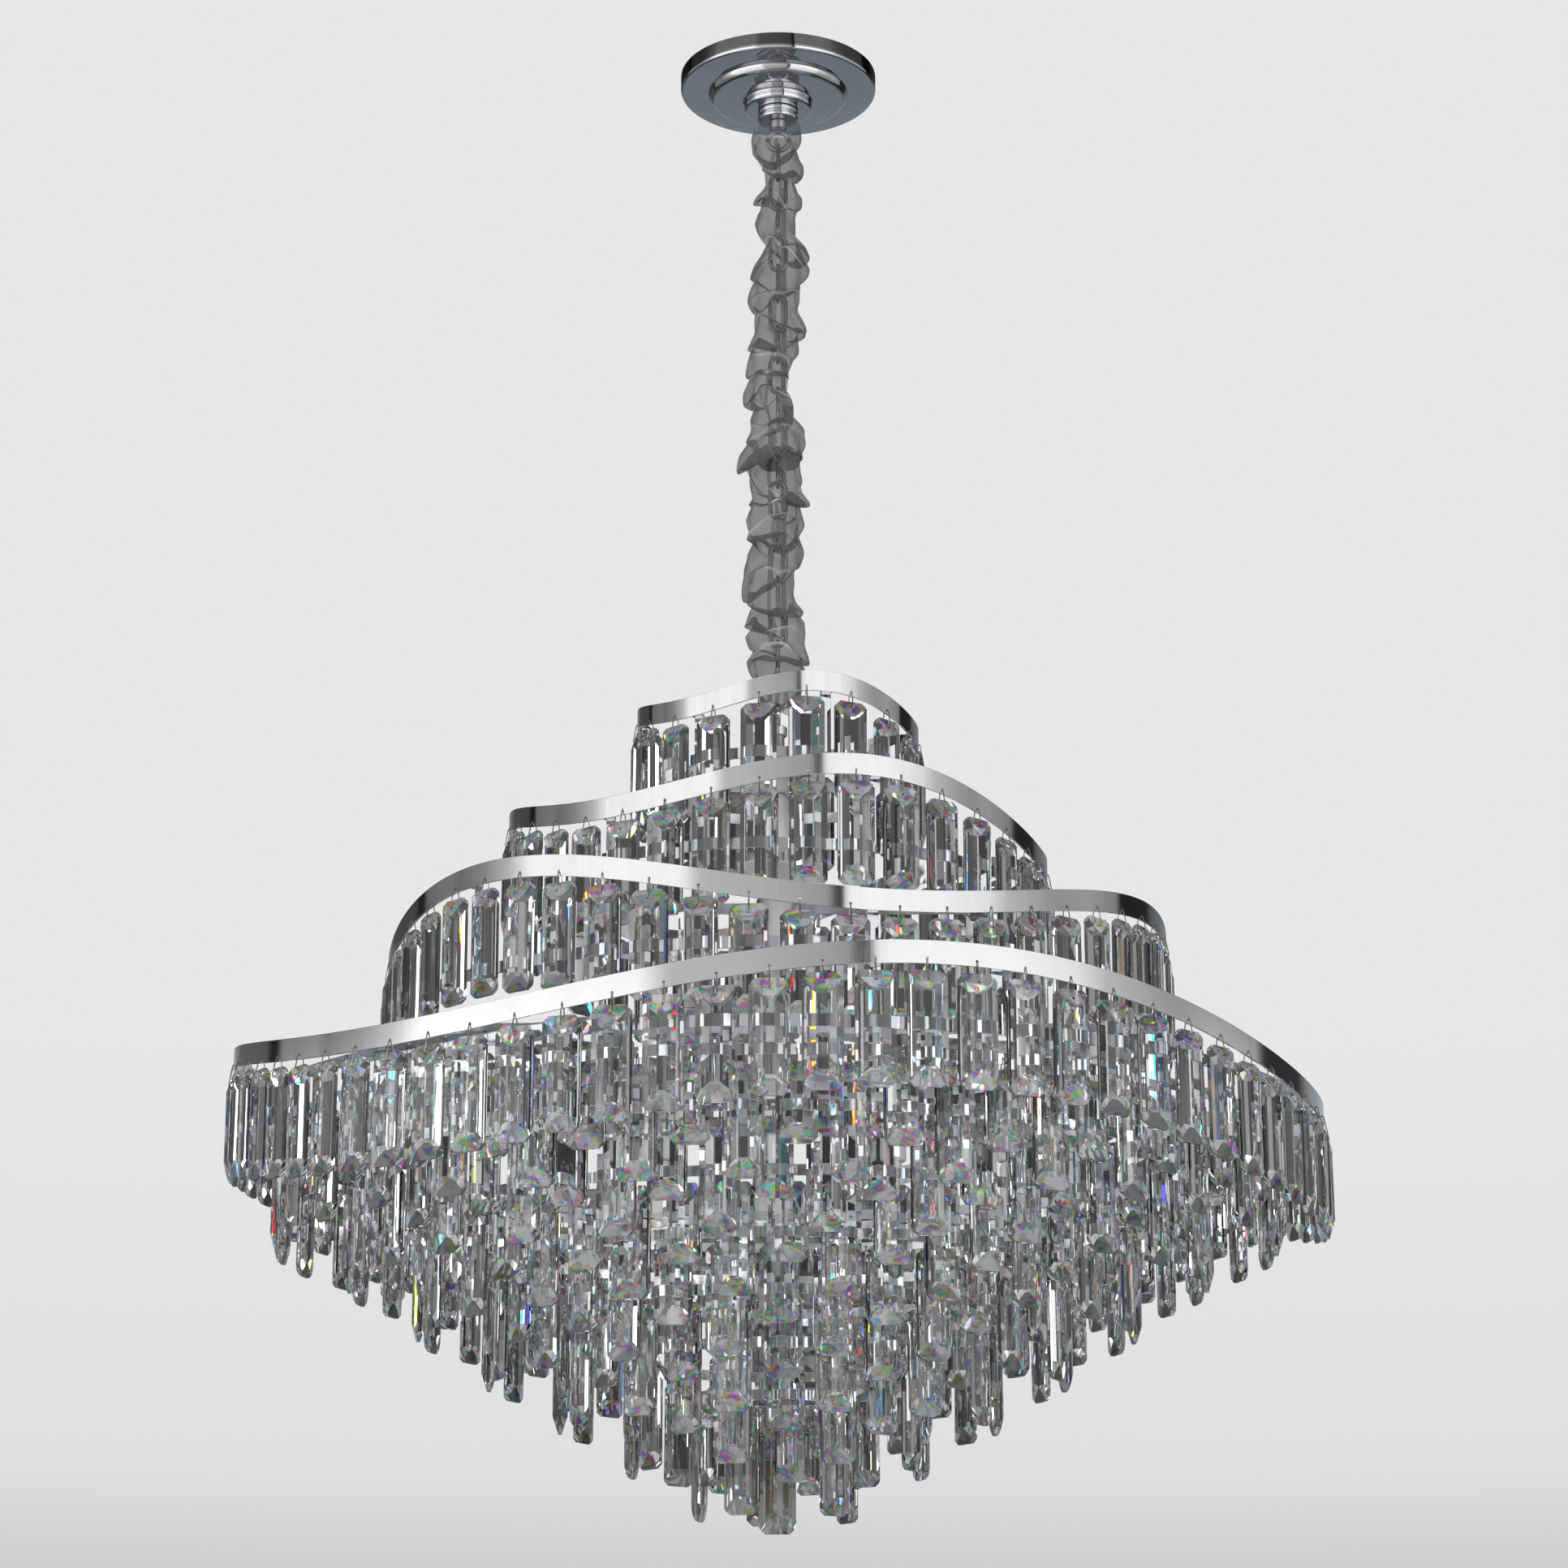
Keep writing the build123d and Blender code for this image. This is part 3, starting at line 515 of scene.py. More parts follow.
def round_places(tree, given):
    """Points at the holes of a ring, with the turn that faces each outwards."""
    points = step(tree, "GeometryNodeMeshLine", {"Count": given["Count"]})[0]
    index = step(tree, "GeometryNodeInputIndex")[0]
    pitch = sums(tree, "DIVIDE", 360.0, given["Count"])
    angle = sums(tree, "MULTIPLY_ADD", index, pitch, given["First Angle"])
    level = at_angle(tree, given, angle)
    turn = sums(tree, "RADIANS", angle)
    east = sums(tree, "MULTIPLY", sums(tree, "SINE", turn), given["Radius"])
    front = sums(tree, "MULTIPLY", given["Radius"], -1.0)
    north = sums(tree, "MULTIPLY", sums(tree, "COSINE", turn), front)
    spot = step(tree, "ShaderNodeCombineXYZ", {"X": east, "Y": north, "Z": level})[0]
    placed = step(tree, "GeometryNodeSetPosition", {"Geometry": points, "Position": spot})[0]
    return placed, sums(tree, "ADD", turn, pi)

ring_inputs = (("Count", "Int"), ("Radius", "Float"), ("First Angle", "Float"), *wave_inputs)

def strip_tree():
    """A hoop of strip that follows the wave, with round holes punched through it."""
    tree, given, result = new_tree("punched hoop", (
        *ring_inputs, ("Height", "Float"), ("Thickness", "Float"), ("Above Holes", "Float"),
        ("Hole", "Float"), ("Segments", "Int"), ("Material", "Material")))
    circle = step(tree, "GeometryNodeCurvePrimitiveCircle", {"Resolution": given["Segments"],
                                                             "Radius": given["Radius"]})[0]
    section = step(tree, "GeometryNodeCurvePrimitiveQuadrilateral", {"Width": given["Thickness"],
                                                                     "Height": given["Height"]})[0]
    section = step(tree, "GeometryNodeFilletCurve", {"Curve": section, "Count": 2,
                                                     "Radius": strip_rounding * mm}, mode="POLY")[0]
    hoop = step(tree, "GeometryNodeCurveToMesh", {"Curve": circle, "Profile Curve": section})[0]
    part = step(tree, "ShaderNodeSeparateXYZ", {0: step(tree, "GeometryNodeInputPosition")[0]})
    back = sums(tree, "MULTIPLY", part["Y"], -1.0)
    angle = sums(tree, "DEGREES", sums(tree, "ARCTAN2", part["X"], back))
    level = sums(tree, "ADD", at_angle(tree, given, angle), given["Above Holes"])
    lifted = step(tree, "GeometryNodeSetPosition", {
        "Geometry": hoop, "Offset": step(tree, "ShaderNodeCombineXYZ", {"Z": level})[0]})[0]
    reach = sums(tree, "MULTIPLY", given["Thickness"], 4.0)
    punch = step(tree, "GeometryNodeMeshCylinder", {"Vertices": 12, "Radius": given["Hole"],
                                                    "Depth": reach})[0]
    spots, turn = round_places(tree, given)
    punches = placed_on(tree, spots, punch, X=pi / 2, Z=turn)
    punches = step(tree, "GeometryNodeRealizeInstances", {0: punches})[0]
    smooth = step(tree, "GeometryNodeMeshBoolean", {0: lifted, 1: punches}, operation="DIFFERENCE",
                  solver="EXACT")[0]
    bend = step(tree, "GeometryNodeInputMeshEdgeAngle")[0]
    sharp = step(tree, "FunctionNodeCompare", {0: bend, 1: strip_sharp}, operation="GREATER_THAN")[0]
    for domain, feeds in (("FACE", {"Shade Smooth": True}), ("EDGE", {"Selection": sharp,
                                                                      "Shade Smooth": False})):
        smooth = step(tree, "GeometryNodeSetShadeSmooth", {0: smooth, **feeds}, domain=domain)[0]
    return close_tree(tree, smooth, given["Material"], result)

def ring_sizes(radius, mean, count, first, rise3=0.0, at3=0.0, rise2=0.0, at2=0.0):
    """A ring's sizes for a tree's inputs."""
    return dict(Count=count, Radius=radius * mm, First_Angle=first, Mean_Level=mean * mm,
                Rise_Three=rise3 * mm, Angle_Three=at3, Rise_Two=rise2 * mm, Angle_Two=at2)

punched_hoop = strip_tree()
for n, tier in enumerate(tiers, 1):
    band = grown("polished_band_%d" % n, punched_hoop, mirror_strip, Height=band_height * mm,
                 Thickness=band_thick * mm, Above_Holes=(band_height / 2 - band_rim) * mm,
                 Hole=band_hole * mm, Segments=720 if n > 2 else 480, **ring_sizes(*tier))
    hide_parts("wavy_band_%d" % n)
    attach(band, "fixture")

# ------------------------------------------------------------------ band brackets
# Z-shaped tabs of bent sheet, welded inside each band midway between two
# holes. Their outer leaf lies on the plain ring and is screwed to it.
frame_levels = [-588.0, -682.0, -773.0, -850.0]
frame_inset, frame_ring, screw_lower = 8.8, 8.0, 1.2      # plain ring within the band, its height, screws
tab_width, tab_sheet, tab_up, tab_leaf = 8.0, 1.5, 1.0, 9.0      # its foot over the band's, its inner leaf
tab_gap, tab_weld, tab_edge = 0.3, 0.1, 0.2      # play at the ring, bite into the band, rounded edges

def wave_at(tier, angle):
    """Level of a band's hole row at an angle from the front."""
    _, mean, _, _, rise3, at3, rise2, at2 = tier
    return mean + rise3 * cos(3 * radians(angle - at3)) + rise2 * cos(2 * radians(angle - at2))

def tab_angles(tier):
    """Six angles midway between holes, as near to the wave's tops and troughs as they come."""
    _, _, count, first, _, at3, _, _ = tier
    pitch = 360.0 / count
    return [first + (round((at3 + 60.0 + 60.0 * j - first) / pitch - 0.5) + 0.5) * pitch for j in range(6)]

def bent_tabs(n, tier):
    """The six tabs of one band in one mesh, each three plates joined at its bends."""
    work = bmesh.new()
    band_in = tier[0] - band_thick / 2
    leaf_in = tier[0] - frame_inset + tab_gap
    for angle in tab_angles(tier):
        low = wave_at(tier, angle) - band_rim + tab_up
        foot = min(low, frame_levels[n] - frame_ring / 2)
        head = max(low + tab_sheet, frame_levels[n] + frame_ring / 2)
        turn = Matrix.Rotation(radians(angle + 180), 4, "Z")
        plates = ((band_in - tab_sheet, band_in + tab_weld, low, low + tab_leaf),
                  (leaf_in, band_in, low, low + tab_sheet),
                  (leaf_in, leaf_in + tab_sheet, foot, head))
        for near, far, bottom, top in plates:
            spot = Matrix.Translation((0, (near + far) / 2 * mm, (bottom + top) / 2 * mm))
            size = Matrix.Diagonal((tab_width * mm, (far - near) * mm, (top - bottom) * mm, 1))
            bmesh.ops.create_cube(work, size=1.0, matrix=turn @ spot @ size)
    bmesh.ops.bevel(work, geom=work.edges[:], offset=tab_edge * mm, segments=1, affect="EDGES")
    return made_mesh(work, "band_tabs_%d" % (n + 1))

for n, tier in enumerate(tiers):
    tabs = new_piece("band_tabs_%d" % (n + 1), bent_tabs(n, tier), chrome)
    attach(tabs, "fixture")

# ------------------------------------------------------------------ band screws
# Small pan-head screws with a cross recess, one through each tab into the
# plain ring.
screw_outline = [        # radius and height over the seat
    (0.0, 1.45), (1.1, 1.3), (1.8, 0.9), (2.15, 0.3), (2.15, 0.0), (1.15, 0.0), (1.15, -3.8), (0.0, -4.1)]
recess_long, recess_wide, recess_deep, recess_at, screw_sides = 2.6, 0.5, 1.6, 1.3, 12

def screw_mesh():
    """One screw along Y with its seat at the origin, the head outwards."""
    work = bmesh.new()
    turns = [2 * pi * k / screw_sides for k in range(screw_sides)]
    rings = [[work.verts.new((r * cos(a) * mm, y * mm, r * sin(a) * mm)) for a in turns]
             for r, y in screw_outline]
    for near, far in zip(rings, rings[1:]):
        for k in range(screw_sides):
            j = (k + 1) % screw_sides
            work.faces.new((near[k], near[j], far[j], far[k]))
    close_up(work)
    return made_mesh(work, "one_screw")

def carved(thing, cutters):
    """A helper object's mesh with other meshes cut out of it."""
    tools = []
    for k, cutter in enumerate(cutters):
        tool = new_piece("cutter_%d" % k, cutter)
        tools.append(tool)
        cut = thing.modifiers.new("cut", "BOOLEAN")
        cut.object, cut.operation, cut.solver = tool, "DIFFERENCE", "EXACT"
    graph = bpy.context.evaluated_depsgraph_get()
    mesh = bpy.data.meshes.new_from_object(thing.evaluated_get(graph), preserve_all_data_layers=True,
                                           depsgraph=graph)
    thing.modifiers.clear()
    thing.data = mesh
    for tool in tools:
        bpy.data.objects.remove(tool)
    return thing

def block(size, centre):
    """A plain block, used to cut recesses."""
    work = bmesh.new()
    bmesh.ops.create_cube(work, size=1.0, matrix=Matrix.Translation([c * mm for c in centre])
                          @ Matrix.Diagonal([*(s * mm for s in size), 1]))
    return made_mesh(work, "block")

recess = [block(size, (0, recess_at, 0)) for size in ((recess_long, recess_deep, recess_wide),
                                                      (recess_wide, recess_deep, recess_long))]
one_screw = carved(new_piece("one_screw", screw_mesh()), recess)
smooth_with_edges(one_screw.data, 30)

def places_tree():
    """A thing at each given point, turned by the point's own angle."""
    tree, given, result = new_tree("things at places", (("Places", "Geometry"), ("Thing", "Object"),
                                                        ("Material", "Material")))
    turn = step(tree, "GeometryNodeInputNamedAttribute", {"Name": "turn"}, data_type="FLOAT")[0]
    placed = placed_on(tree, given["Places"], shape_of(tree, given["Thing"]), Z=turn)
    return close_tree(tree, placed, given["Material"], result)

def places_mesh(spots):
    """Points of a ring as (radius, angle, level), in millimetres and degrees."""
    mesh = bpy.data.meshes.new("places")
    mesh.from_pydata([(r * sin(radians(a)) * mm, -r * cos(radians(a)) * mm, z * mm) for r, a, z in spots],
                     [], [])
    turn = mesh.attributes.new("turn", "FLOAT", "POINT")
    turn.data.foreach_set("value", [radians(a) + pi for _, a, _ in spots])
    return mesh

at_places = places_tree()
screw_spots = [(tier[0] - frame_inset + tab_gap + tab_sheet, a, frame_levels[n] - screw_lower)
               for n, tier in enumerate(tiers) for a in tab_angles(tier)]
pan_screws = grown("pan_head_screws", at_places, zinc, places_mesh(screw_spots), Thing=one_screw)
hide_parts("band_screws")
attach(pan_screws, "fixture")
bpy.data.objects.remove(one_screw)

# ------------------------------------------------------------------ spoke frames
# Under each band a plain ring of flat steel on four spokes, welded to a hub
# on the stem. Chrome plated, a little duller than the bands.
frame_plate = metal("plated frame steel", (0.74, 0.75, 0.77), (0.56, 0.57, 0.60), 0.07, 0.2, size=26.0,
                    stretch=(4, 4, 1), grain=0.08)
for n in range(1, 5):
    dress("tier_frame_%d" % n, frame_plate)

# ------------------------------------------------------------------ wire hooks
# One loop of springy nickel wire to each crystal, round through the hole in
# the strip and the hole in the glass.
nickel_wire = metal("nickel hook wire", (0.56, 0.52, 0.46), (0.30, 0.27, 0.23), 0.16, 0.32, size=200.0)
hook_wire, hook_bend = 0.45, 1.1                 # radius of the wire, and rounding of the loop's corners
hook_over, hook_top = 0.4, 1.65                  # top of the loop: how far under the hole, and half its width
hook_drop, hook_foot = 13.8, 4.2                 # the same for its foot

def hook_path():
    """The loop's centre line, in the plane across the strip."""
    corners = [(hook_foot, -hook_drop), (hook_top, -hook_over), (-hook_top, -hook_over),
               (-hook_foot, -hook_drop)]
    line = rounded_outline([(y, z, hook_bend) for y, z in corners], 2)
    return [(0, p.x, p.y) for p in line]

one_hook = new_piece("one_hook", swept("one_hook", hook_path(), hook_wire, sides=5), nickel_wire)

def drawn(tree, seed, offset, low, high):
    """A number drawn at each point, from a seed and this draw's own offset."""
    value = step(tree, "FunctionNodeRandomValue", {"Seed": sums(tree, "ADD", seed, offset)},
                 data_type="FLOAT")
    least, most = [s for s in value[0].node.inputs if s.enabled][:2]
    least.default_value, most.default_value = low, high
    return next(s for s in value if s.enabled)

def hanging_tree():
    """A thing under every hole of a ring, with a little free play about the hook."""
    tree, given, result = new_tree("hung round a ring", (
        *ring_inputs, ("Thing", "Object"), ("Yaw Play", "Float"), ("Swing Play", "Float"), ("Seed", "Int"),
        ("Material", "Material")))
    spots, turn = round_places(tree, given)
    loose = []
    for offset, play in ((0.0, "Yaw Play"), (50.0, "Swing Play")):
        share = drawn(tree, given["Seed"], offset, -1.0, 1.0)
        loose.append(sums(tree, "RADIANS", sums(tree, "MULTIPLY", share, given[play])))
    yaw, swing = loose
    placed = placed_on(tree, spots, shape_of(tree, given["Thing"]), X=swing, Z=sums(tree, "ADD", turn, yaw))
    marked = step(tree, "GeometryNodeStoreNamedAttribute", {"Geometry": placed, "Name": "own_shade"},
                  data_type="FLOAT", domain="INSTANCE")[0]
    shade = [s for s in marked.node.inputs if s.enabled][-1]
    tree.links.new(drawn(tree, given["Seed"], 90.0, 0.0, 1.0), shade)
    return close_tree(tree, marked, given["Material"], result)

hung = hanging_tree()
cone = [    # radius, level, holes, angle of one short crystal
    (359.5, -863.0, 66, -8.95), (308.0, -889.0, 56, -13.4), (257.0, -922.6, 46, -14.1),
    (207.0, -955.6, 36, -19.7), (156.0, -986.4, 28, -24.3), (106.0, -1016.4, 18, -37.0),
    (56.0, -1047.0, 10, 9.4)]
pendant = (0.0, -1056.6, 1, 0.0)

def hang(name, node, body, thing, ring, material, slot, seed, yaw=0.0, swing=0.0, ends=None):
    """One ring's hooks or crystals as a piece; ends is the finish of a crystal's end facets."""
    piece = grown(name, hung, material, Thing=thing, Yaw_Play=yaw, Swing_Play=swing, Seed=seed,
                  **ring_sizes(*ring))
    if ends:
        piece.data.materials.clear()
        for finish in (material, ends):
            piece.data.materials.append(finish)
        marks = piece.data.attributes["end_flat"].data
        piece.data.polygons.foreach_set("material_index", [int(mark.value > 0.5) for mark in marks])
    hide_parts(node)
    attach(piece, body)

for n, tier in enumerate(tiers, 1):
    hang("band_hooks_%d" % n, "tier_hooks_%d" % n, "fixture", one_hook, tier, nickel_wire, "wire", n)
for n, ring in enumerate(cone, 1):
    hang("ring_hooks_%d" % n, "cone_hooks", "fixture", one_hook, ring, nickel_wire, "wire", 10 + n)
hang("pendant_loop", "centre_hook", "pendant_hook", one_hook, pendant, nickel_wire, "wire", 20)
bpy.data.objects.remove(one_hook)

# ------------------------------------------------------------------ crystals
# Bars of clear cut glass with five facets on each side, clipped corners and
# a half-moon facet at each end of each face. Long ones hang from the bands,
# long and short ones in turn from the rings of the cone.
long_bar, short_bar, bar_width, bar_thick = 75.0, 53.0, 26.5, 10.8
bar_edge, bar_corner, bar_moon = 2.6, 4.5, 12.5  # thickness at the edge, clipped corner, half-moon's length
bar_top, bar_hole, bar_hole_down = -7.9, 1.0, 6.2        # level of the top, radius and place of the hole
bar_shoulder, bar_ridge = (0.65, 0.72), 0.24     # shares of half the width and half the thickness
corner_painted_fire, moon_painted_fire = 0.6, 1.0                # how much painted fire the end facets get: spectrum colours painted into their colour, standing in for dispersion glints
painted_fire_fine, painted_fire_rounds = 62.0, 4.5               # fineness of the painted fire's patches, and times that its spectrum repeats

def cut_bar(name, length):
    """One crystal ground from a block, one flat at a time, then drilled."""
    half, edge, thick = bar_width / 2, bar_edge / 2, bar_thick / 2
    work = bmesh.new()
    bmesh.ops.create_cube(work, size=1.0, matrix=Matrix.Translation((0, 0, (bar_top - length / 2) * mm))
                          @ Matrix.Diagonal((bar_width * mm, bar_thick * mm, length * mm, 1)))
    end_flat = work.faces.layers.float.new("end_flat")
    section = [(half, edge), (half * bar_shoulder[0], thick * bar_shoulder[1]), (half * bar_ridge, thick)]
    flats = []
    for (xa, ya), (xb, yb) in zip(section, section[1:]):
        for sx in (-1, 1):
            for sy in (-1, 1):
                flats.append(((sx * xa, sy * ya, 0), (sx * (yb - ya), sy * (xa - xb), 0), 0.0))
    for end, z in ((1, bar_top), (-1, bar_top - length)):
        for side in (-1, 1):
            flats.append(((side * half, 0, z - end * bar_corner), (side, 0, end), corner_painted_fire))
            flats.append(((0, side * edge, z), (0, side * bar_moon, end * (thick - edge)), moon_painted_fire))
    for point, normal, mark in flats:
        geometry = work.verts[:] + work.edges[:] + work.faces[:]
        cut = bmesh.ops.bisect_plane(work, geom=geometry, plane_co=[p * mm for p in point],
                                     plane_no=Vector(normal).normalized(), clear_outer=True, dist=1e-7)
        rim = [e for e in cut["geom_cut"] if isinstance(e, bmesh.types.BMEdge)]
        if rim:
            for face in bmesh.ops.contextual_create(work, geom=rim)["faces"]:
                face[end_flat] = mark
    bmesh.ops.recalc_face_normals(work, faces=work.faces)
    drill = bmesh.new()
    bmesh.ops.create_cone(drill, cap_ends=True, segments=8, radius1=bar_hole * mm, radius2=bar_hole * mm,
                          depth=2 * bar_thick * mm,
                          matrix=Matrix.Translation((0, 0, (bar_top - bar_hole_down) * mm))
                          @ Matrix.Rotation(pi / 2, 4, "X"))
    return carved(new_piece(name, made_mesh(work, name)), [made_mesh(drill, "drill")])

def crystal_glass(name, clear):
    """Cut glass whose end facets have spectrum colours painted into their colour, a painted fire that stands
    in for dispersion glints; clear is the share of light that it lets through.
    """
    made, tree, glass = new_material(name, IOR=1.54, Transmission_Weight=clear)
    end_mask, own_shade = (step(tree, "ShaderNodeAttribute", attribute_name=label)["Fac"]
                           for label in ("end_flat", "own_shade"))
    on_bar = on_piece(tree)
    slanted = step(tree, "ShaderNodeMapping", {0: on_bar, "Rotation": (0.5, 0.4, 0.0),
                                               "Scale": (1.0, 1.0, 2.2)})[0]
    # painted fire: patches of spectrum colours painted into the end facets' base colour, as painted glints of
    # dispersion
    hue = sums(tree, "FRACT", sums(tree, "MULTIPLY", noise(tree, slanted, painted_fire_fine, 0.0), painted_fire_rounds))
    spectrum = step(tree, "ShaderNodeCombineColor", {0: hue, 1: 0.88, 2: 1.0}, mode="HSV")[0]
    patches = remap(tree, noise(tree, on_bar, 95.0, 1.0), 0.0, 0.9, 0.50, 0.56)
    painted_fire = sums(tree, "MULTIPLY", end_mask, patches)
    body_tone = toned(tree, own_shade, (0.985, 0.995, 1.0), (0.955, 0.97, 0.98))
    gloss = remap(tree, noise(tree, on_bar, 45.0, 3.0), 0.0, 0.008, 0.45, 0.8)
    drawn_out = step(tree, "ShaderNodeMapping", {0: on_bar, "Scale": (1.0, 1.0, 0.12)})[0]
    feed(tree, glass, Base_Color=toned(tree, painted_fire, body_tone, spectrum, clamp_result=True),
         Roughness=gloss, Normal=bumped(tree, noise(tree, drawn_out, 260.0, 2.0), 0.02, 0.3 * mm))
    return made

cut_glass = crystal_glass("cut crystal glass", 1.0)
# the end facets let less light through, so the painted fire in their colour shows on them
end_glass = crystal_glass("crystal end facets", 0.86)
play = dict(yaw=2.6, swing=0.5, ends=end_glass)      # degrees of free play about the hook

long_one, short_one = cut_bar("long_bar", long_bar), cut_bar("short_bar", short_bar)
for n, tier in enumerate(tiers, 1):
    hang("band_crystals_%d" % n, "tier_crystals_%d" % n, "fixture", long_one, tier, cut_glass, "crystal",
         30 + n, **play)
for n, (radius, level, count, short_at) in enumerate(cone, 1):
    hang("short_crystals_%d" % n, "cone_short_crystals_%d" % n, "fixture", short_one,
         (radius, level, count // 2, short_at), cut_glass, "crystal", 40 + n, **play)
    hang("long_crystals_%d" % n, "cone_long_crystals_%d" % n, "fixture", long_one,
         (radius, level, count // 2, short_at + 360 / count), cut_glass, "crystal", 50 + n, **play)
hang("last_crystal", "centre_crystal", "pendant", long_one, pendant, cut_glass, "crystal", 60,
     ends=end_glass)
for helper in (long_one, short_one):
    bpy.data.objects.remove(helper)

# ------------------------------------------------------------------ cone rings
# Seven flat hoops of polished strip, each smaller and lower than the last,
# with a hole for every crystal.
ring_height, ring_thick = 7.5, 1.2
for n, ring in enumerate(cone, 1):
    hoop = grown("polished_ring_%d" % n, punched_hoop, mirror_strip, Height=ring_height * mm,
                 Thickness=ring_thick * mm, Above_Holes=0.0, Hole=band_hole * mm,
                 Segments=720 if n < 3 else 360, **ring_sizes(*ring))
    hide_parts("cone_ring_%d" % n)
    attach(hoop, "fixture")

# ------------------------------------------------------------------ cone ribs
# Four flat ribs that lie on the upper edges of the seven rings and meet at a
# hub on the stem. Plated like the frames.
dress("cone_ribs", frame_plate)

# ------------------------------------------------------------------ lamp holders and bulbs
# White ceramic holders screwed under the spokes, each with a frosted
# tubular bulb that hangs down between the crystals.
ceramic, tree, shader = new_material("white glazed ceramic", Roughness=0.3, Coat_Weight=0.5)
specks = noise(tree, on_piece(tree), 120.0, 5.0)
feed(tree, shader, Base_Color=toned(tree, specks, (0.86, 0.85, 0.82), (0.74, 0.73, 0.70)))
dress("lamp_holders", ceramic)

frosted, tree, shader = new_material("frosted bulb glass", Roughness=0.45, Subsurface_Weight=0.3,
                                     Subsurface_Radius=(0.004, 0.004, 0.004))
frost = noise(tree, on_piece(tree), 260.0, 4.0)
feed(tree, shader, Base_Color=toned(tree, frost, (0.92, 0.92, 0.90), (0.82, 0.82, 0.80)))
dress("bulbs", frosted)

# ------------------------------------------------------------------ floor
# Plain pale studio floor, well below the hanging lamp.
floor_radius, floor_level = 60.0, -2.6
floor_work = bmesh.new()
bmesh.ops.create_circle(floor_work, cap_ends=True, segments=96, radius=floor_radius,
                        matrix=Matrix.Translation((0, 0, floor_level)))
floor_paint = new_material("pale floor", Base_Color=(0.80, 0.80, 0.80, 1), Roughness=0.9,
                           Specular_IOR_Level=0.1)[0]
studio_floor = new_piece("studio_floor", made_mesh(floor_work, "floor"), floor_paint)
studio_floor.visible_glossy = studio_floor.visible_transmission = False

# ------------------------------------------------------------------ studio world
# A pale room, darker low down where it meets the floor. Metal and glass see it
# with soft dark and light panels round them, and what comes through the glass
# shows a trace of the spectrum at each panel's edge.
world = bpy.data.worlds.new("studio")
scene.world = world
world.use_nodes = True
sky = world.node_tree
sky.nodes.clear()
part = step(sky, "ShaderNodeSeparateXYZ", {0: step(sky, "ShaderNodeTexCoord")["Generated"]})
level = part["Z"]
bearing = sums(sky, "ARCTAN2", part["X"], sums(sky, "MULTIPLY", part["Y"], -1.0))
bearing = sums(sky, "MULTIPLY_ADD", bearing, 0.5 / pi, 0.5)

def steps_of_light(tree, along, stops, blend):
    """Light that changes along a value from 0 to 1; each stop is a place and a grey or a colour."""
    ramp = step(tree, "ShaderNodeValToRGB", {0: along})[0]
    band = ramp.node.color_ramp
    band.interpolation = blend
    band.elements.remove(band.elements[-1])
    for n, (place, light) in enumerate(stops):
        spot = band.elements.new(place) if n else band.elements[0]
        spot.position = place
        spot.color = (*light, 1) if isinstance(light, tuple) else (light, light, light, 1)
    return ramp

def by_bearing(tree, bearing, stops, blend="LINEAR"):
    """Light round the room: 0 and 360 behind the lamp, 180 at the front, 270 at the right."""
    return steps_of_light(tree, bearing, [(place / 360, light) for place, light in stops], blend)

def by_level(tree, level, stops, blend="LINEAR"):
    """Light up the room: -1 straight down, 1 straight up."""
    up = sums(tree, "MULTIPLY_ADD", level, 0.5, 0.5)
    return steps_of_light(tree, up, [(place / 2 + 0.5, light) for place, light in stops], blend)

behind = (0.20, 0.225, 0.26)
round_metal = by_bearing(sky, bearing, [
    (0, behind), (14, behind), (26, 0.07), (48, 0.06), (50, 0.012), (54, 0.012),
    (56, 0.15), (70, 0.20), (74, 0.15), (86, 0.26), (96, 0.50), (104, 1.0), (152, 1.02), (158, 0.50),
    (176, 0.46), (194, 0.34), (196.5, 0.05), (199, 0.04), (199.8, 1.0), (228, 1.0), (243, 0.82), (250, 0.50),
    (268, 0.30), (280, 0.34), (297, 0.22), (298.5, 0.015), (318, 0.02), (324, 0.12), (345, behind)])
up_metal = by_level(sky, level, [
    (-1, 0.25), (-0.86, 0.35), (-0.6, 0.85), (-0.3, 1.0), (0.0, 1.0), (0.05, 1.9), (0.20, 1.9), (0.207, 1.0),
    (0.36, 1.0), (0.41, 0.16), (0.58, 0.16), (0.64, 0.8), (1, 0.75)])
metal_room = toned(sky, 1.0, round_metal, up_metal, blend_type="MULTIPLY")

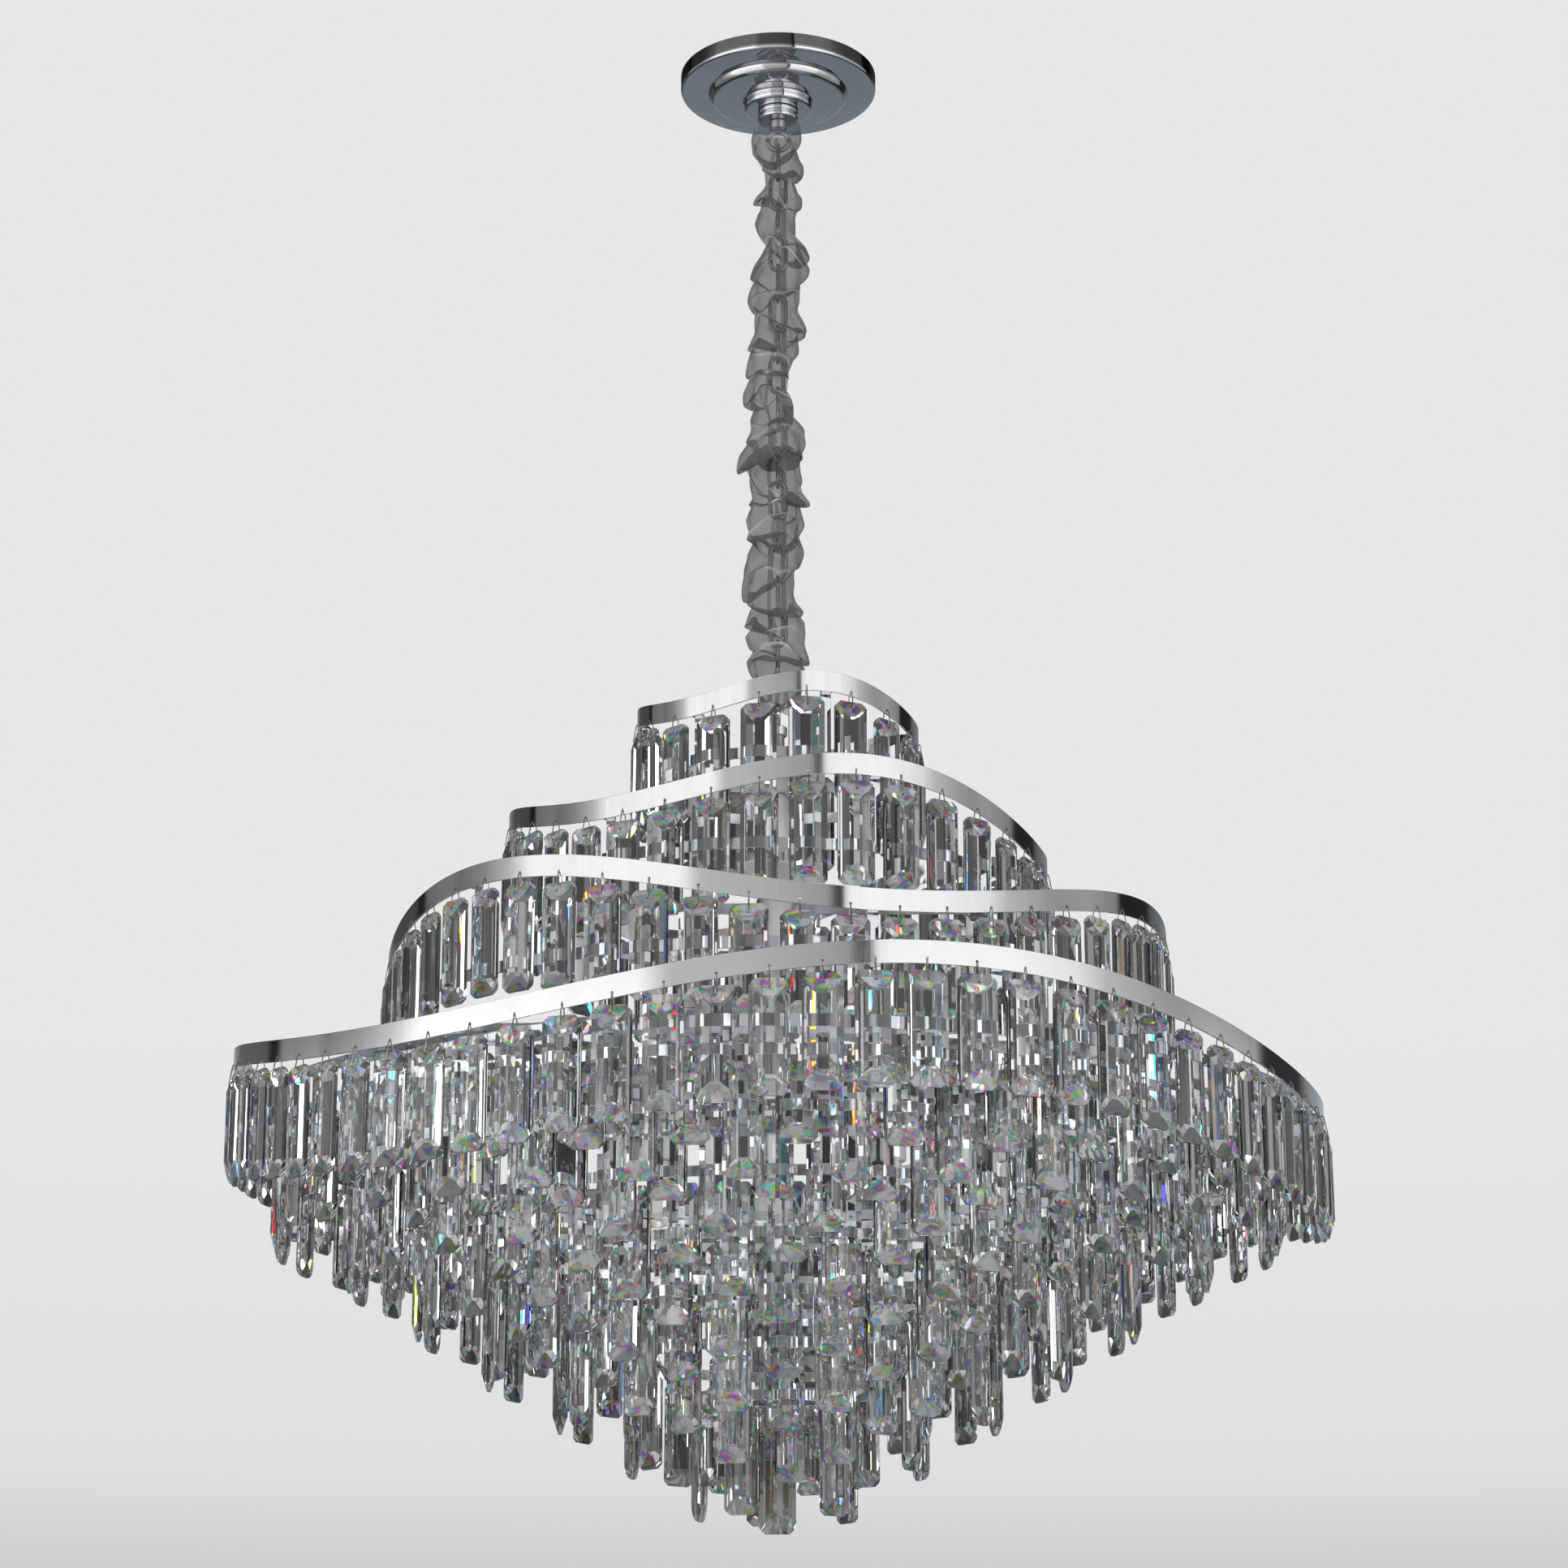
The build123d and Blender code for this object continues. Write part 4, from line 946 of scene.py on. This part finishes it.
def glass_group():
    """Light of one colour that comes through the glass from a bearing and a level."""
    group = bpy.data.node_groups.new("room through glass", "ShaderNodeTree")
    for label in ("Bearing", "Level", "Aside", "Above"):
        group.interface.new_socket(label, in_out="INPUT", socket_type="NodeSocketFloat")
    group.interface.new_socket("Light", in_out="OUTPUT", socket_type="NodeSocketFloat")
    given = group.nodes.new("NodeGroupInput").outputs
    aside = sums(group, "FRACT", sums(group, "ADD", given["Bearing"], given["Aside"]))
    above = sums(group, "ADD", given["Level"], given["Above"])
    around = by_bearing(group, aside, [
        (0, 0.02), (17.5, 0.10), (20, 1.6), (22, 0.05), (30, 0.14), (44, 0.03), (59.5, 3.0), (64.5, 0.04),
        (86, 0.22), (94, 2.4), (99, 0.10), (118, 2.2), (123, 0.08), (145, 2.2), (150, 0.18), (178, 0.08),
        (200, 2.5), (205, 0.12), (224, 2.4), (229, 0.03), (250, 0.20), (262, 3.2), (267, 0.03), (290, 0.22),
        (303, 0.05), (318, 1.0), (322, 0.08), (338, 1.4), (340, 0.02)], "CONSTANT")
    upward = by_level(group, above, [
        (-1, 0.5), (-0.62, 0.05), (-0.5, 1.0), (-0.12, 0.12), (-0.04, 1.0), (0.52, 0.08), (0.6, 1.0),
        (0.82, 0.12), (0.95, 0.5)], "CONSTANT")
    glow = by_level(group, above, [
        (-1, 0.55), (-0.60, 0.42), (-0.40, 0.01), (-0.01, 0.01), (0.01, 0.10), (0.07, 0.10), (0.09, 0.01),
        (0.305, 0.01), (0.34, 0.17), (0.38, 0.28), (0.42, 0.16), (0.6, 0.30), (1, 0.45)])
    shone = sums(group, "ADD", sums(group, "MULTIPLY", around, upward), glow)
    group.links.new(shone, group.nodes.new("NodeGroupOutput").inputs[0])
    return group

through_glass = glass_group()
colour_shifts = ((-0.0004, -0.002), (0.0, 0.0), (0.0004, 0.002))     # of red, green and blue
glass_room = step(sky, "ShaderNodeCombineColor", {
    n: step(sky, "ShaderNodeGroup", {"Bearing": bearing, "Level": level, "Aside": aside, "Above": above},
            node_tree=through_glass)[0] for n, (aside, above) in enumerate(colour_shifts)})[0]
paler_up = by_level(sky, level, [
    (0.0, (0.33, 0.335, 0.355)), (0.03, (0.45, 0.455, 0.47)), (0.09, 0.74), (0.2, 0.80)])
path = step(sky, "ShaderNodeLightPath")
shown = step(sky, "ShaderNodeBackground", {"Color": (0.9, 0.93, 1.0, 1), "Strength": 0.45})[0]
for ray, room in (("Is Glossy Ray", metal_room), ("Is Transmission Ray", glass_room),
                  ("Is Camera Ray", paler_up)):
    seen_by_ray = step(sky, "ShaderNodeBackground", {"Color": room, "Strength": 1.0})[0]
    shown = step(sky, "ShaderNodeMixShader", {0: path[ray], 1: shown, 2: seen_by_ray})[0]
sky.links.new(shown, sky.nodes.new("ShaderNodeOutputWorld").inputs[0])

# ------------------------------------------------------------------ studio lamps
# Large soft boxes: the key at the front left, a fill at the right, one over
# the top and one behind.
lamp_middle = Vector((0, 0, -0.75))

def soft_box(name, spot, size, power):
    """A lamp with a large soft face, turned to the middle of the chandelier."""
    lamp = bpy.data.lights.new(name, "AREA")
    lamp.shape, lamp.size, lamp.size_y, lamp.energy = "RECTANGLE", size[0], size[1], power
    holder = bpy.data.objects.new(name, lamp)
    holder.location = spot
    holder.rotation_euler = (lamp_middle - Vector(spot)).to_track_quat("-Z", "Y").to_euler()
    holder.visible_camera = holder.visible_glossy = holder.visible_transmission = False
    scene.collection.objects.link(holder)

soft_box("key_box", (-2.2, -2.6, 0.3), (1.6, 2.0), 70)
soft_box("fill_box", (2.8, -2.0, -0.2), (1.0, 2.0), 30)
soft_box("top_box", (0.3, -0.6, 2.2), (2.4, 2.4), 45)
soft_box("back_box", (-1.2, 3.0, 0.2), (1.6, 1.6), 30)

# ------------------------------------------------------------------ camera
# From below and in front, as the photograph was taken.
view = bpy.data.cameras.new("photo_view")
view.lens, view.sensor_width = 83.25, 36.0
view.clip_start, view.clip_end = 0.1, 200.0
camera = bpy.data.objects.new("photo_view", view)
camera.location = (0.0, -2.6227, -1.3336)
camera.rotation_euler = (radians(90 + 15.925), 0.0, radians(-0.101))
scene.collection.objects.link(camera)
scene.camera = camera
scene.view_settings.view_transform = "Standard"
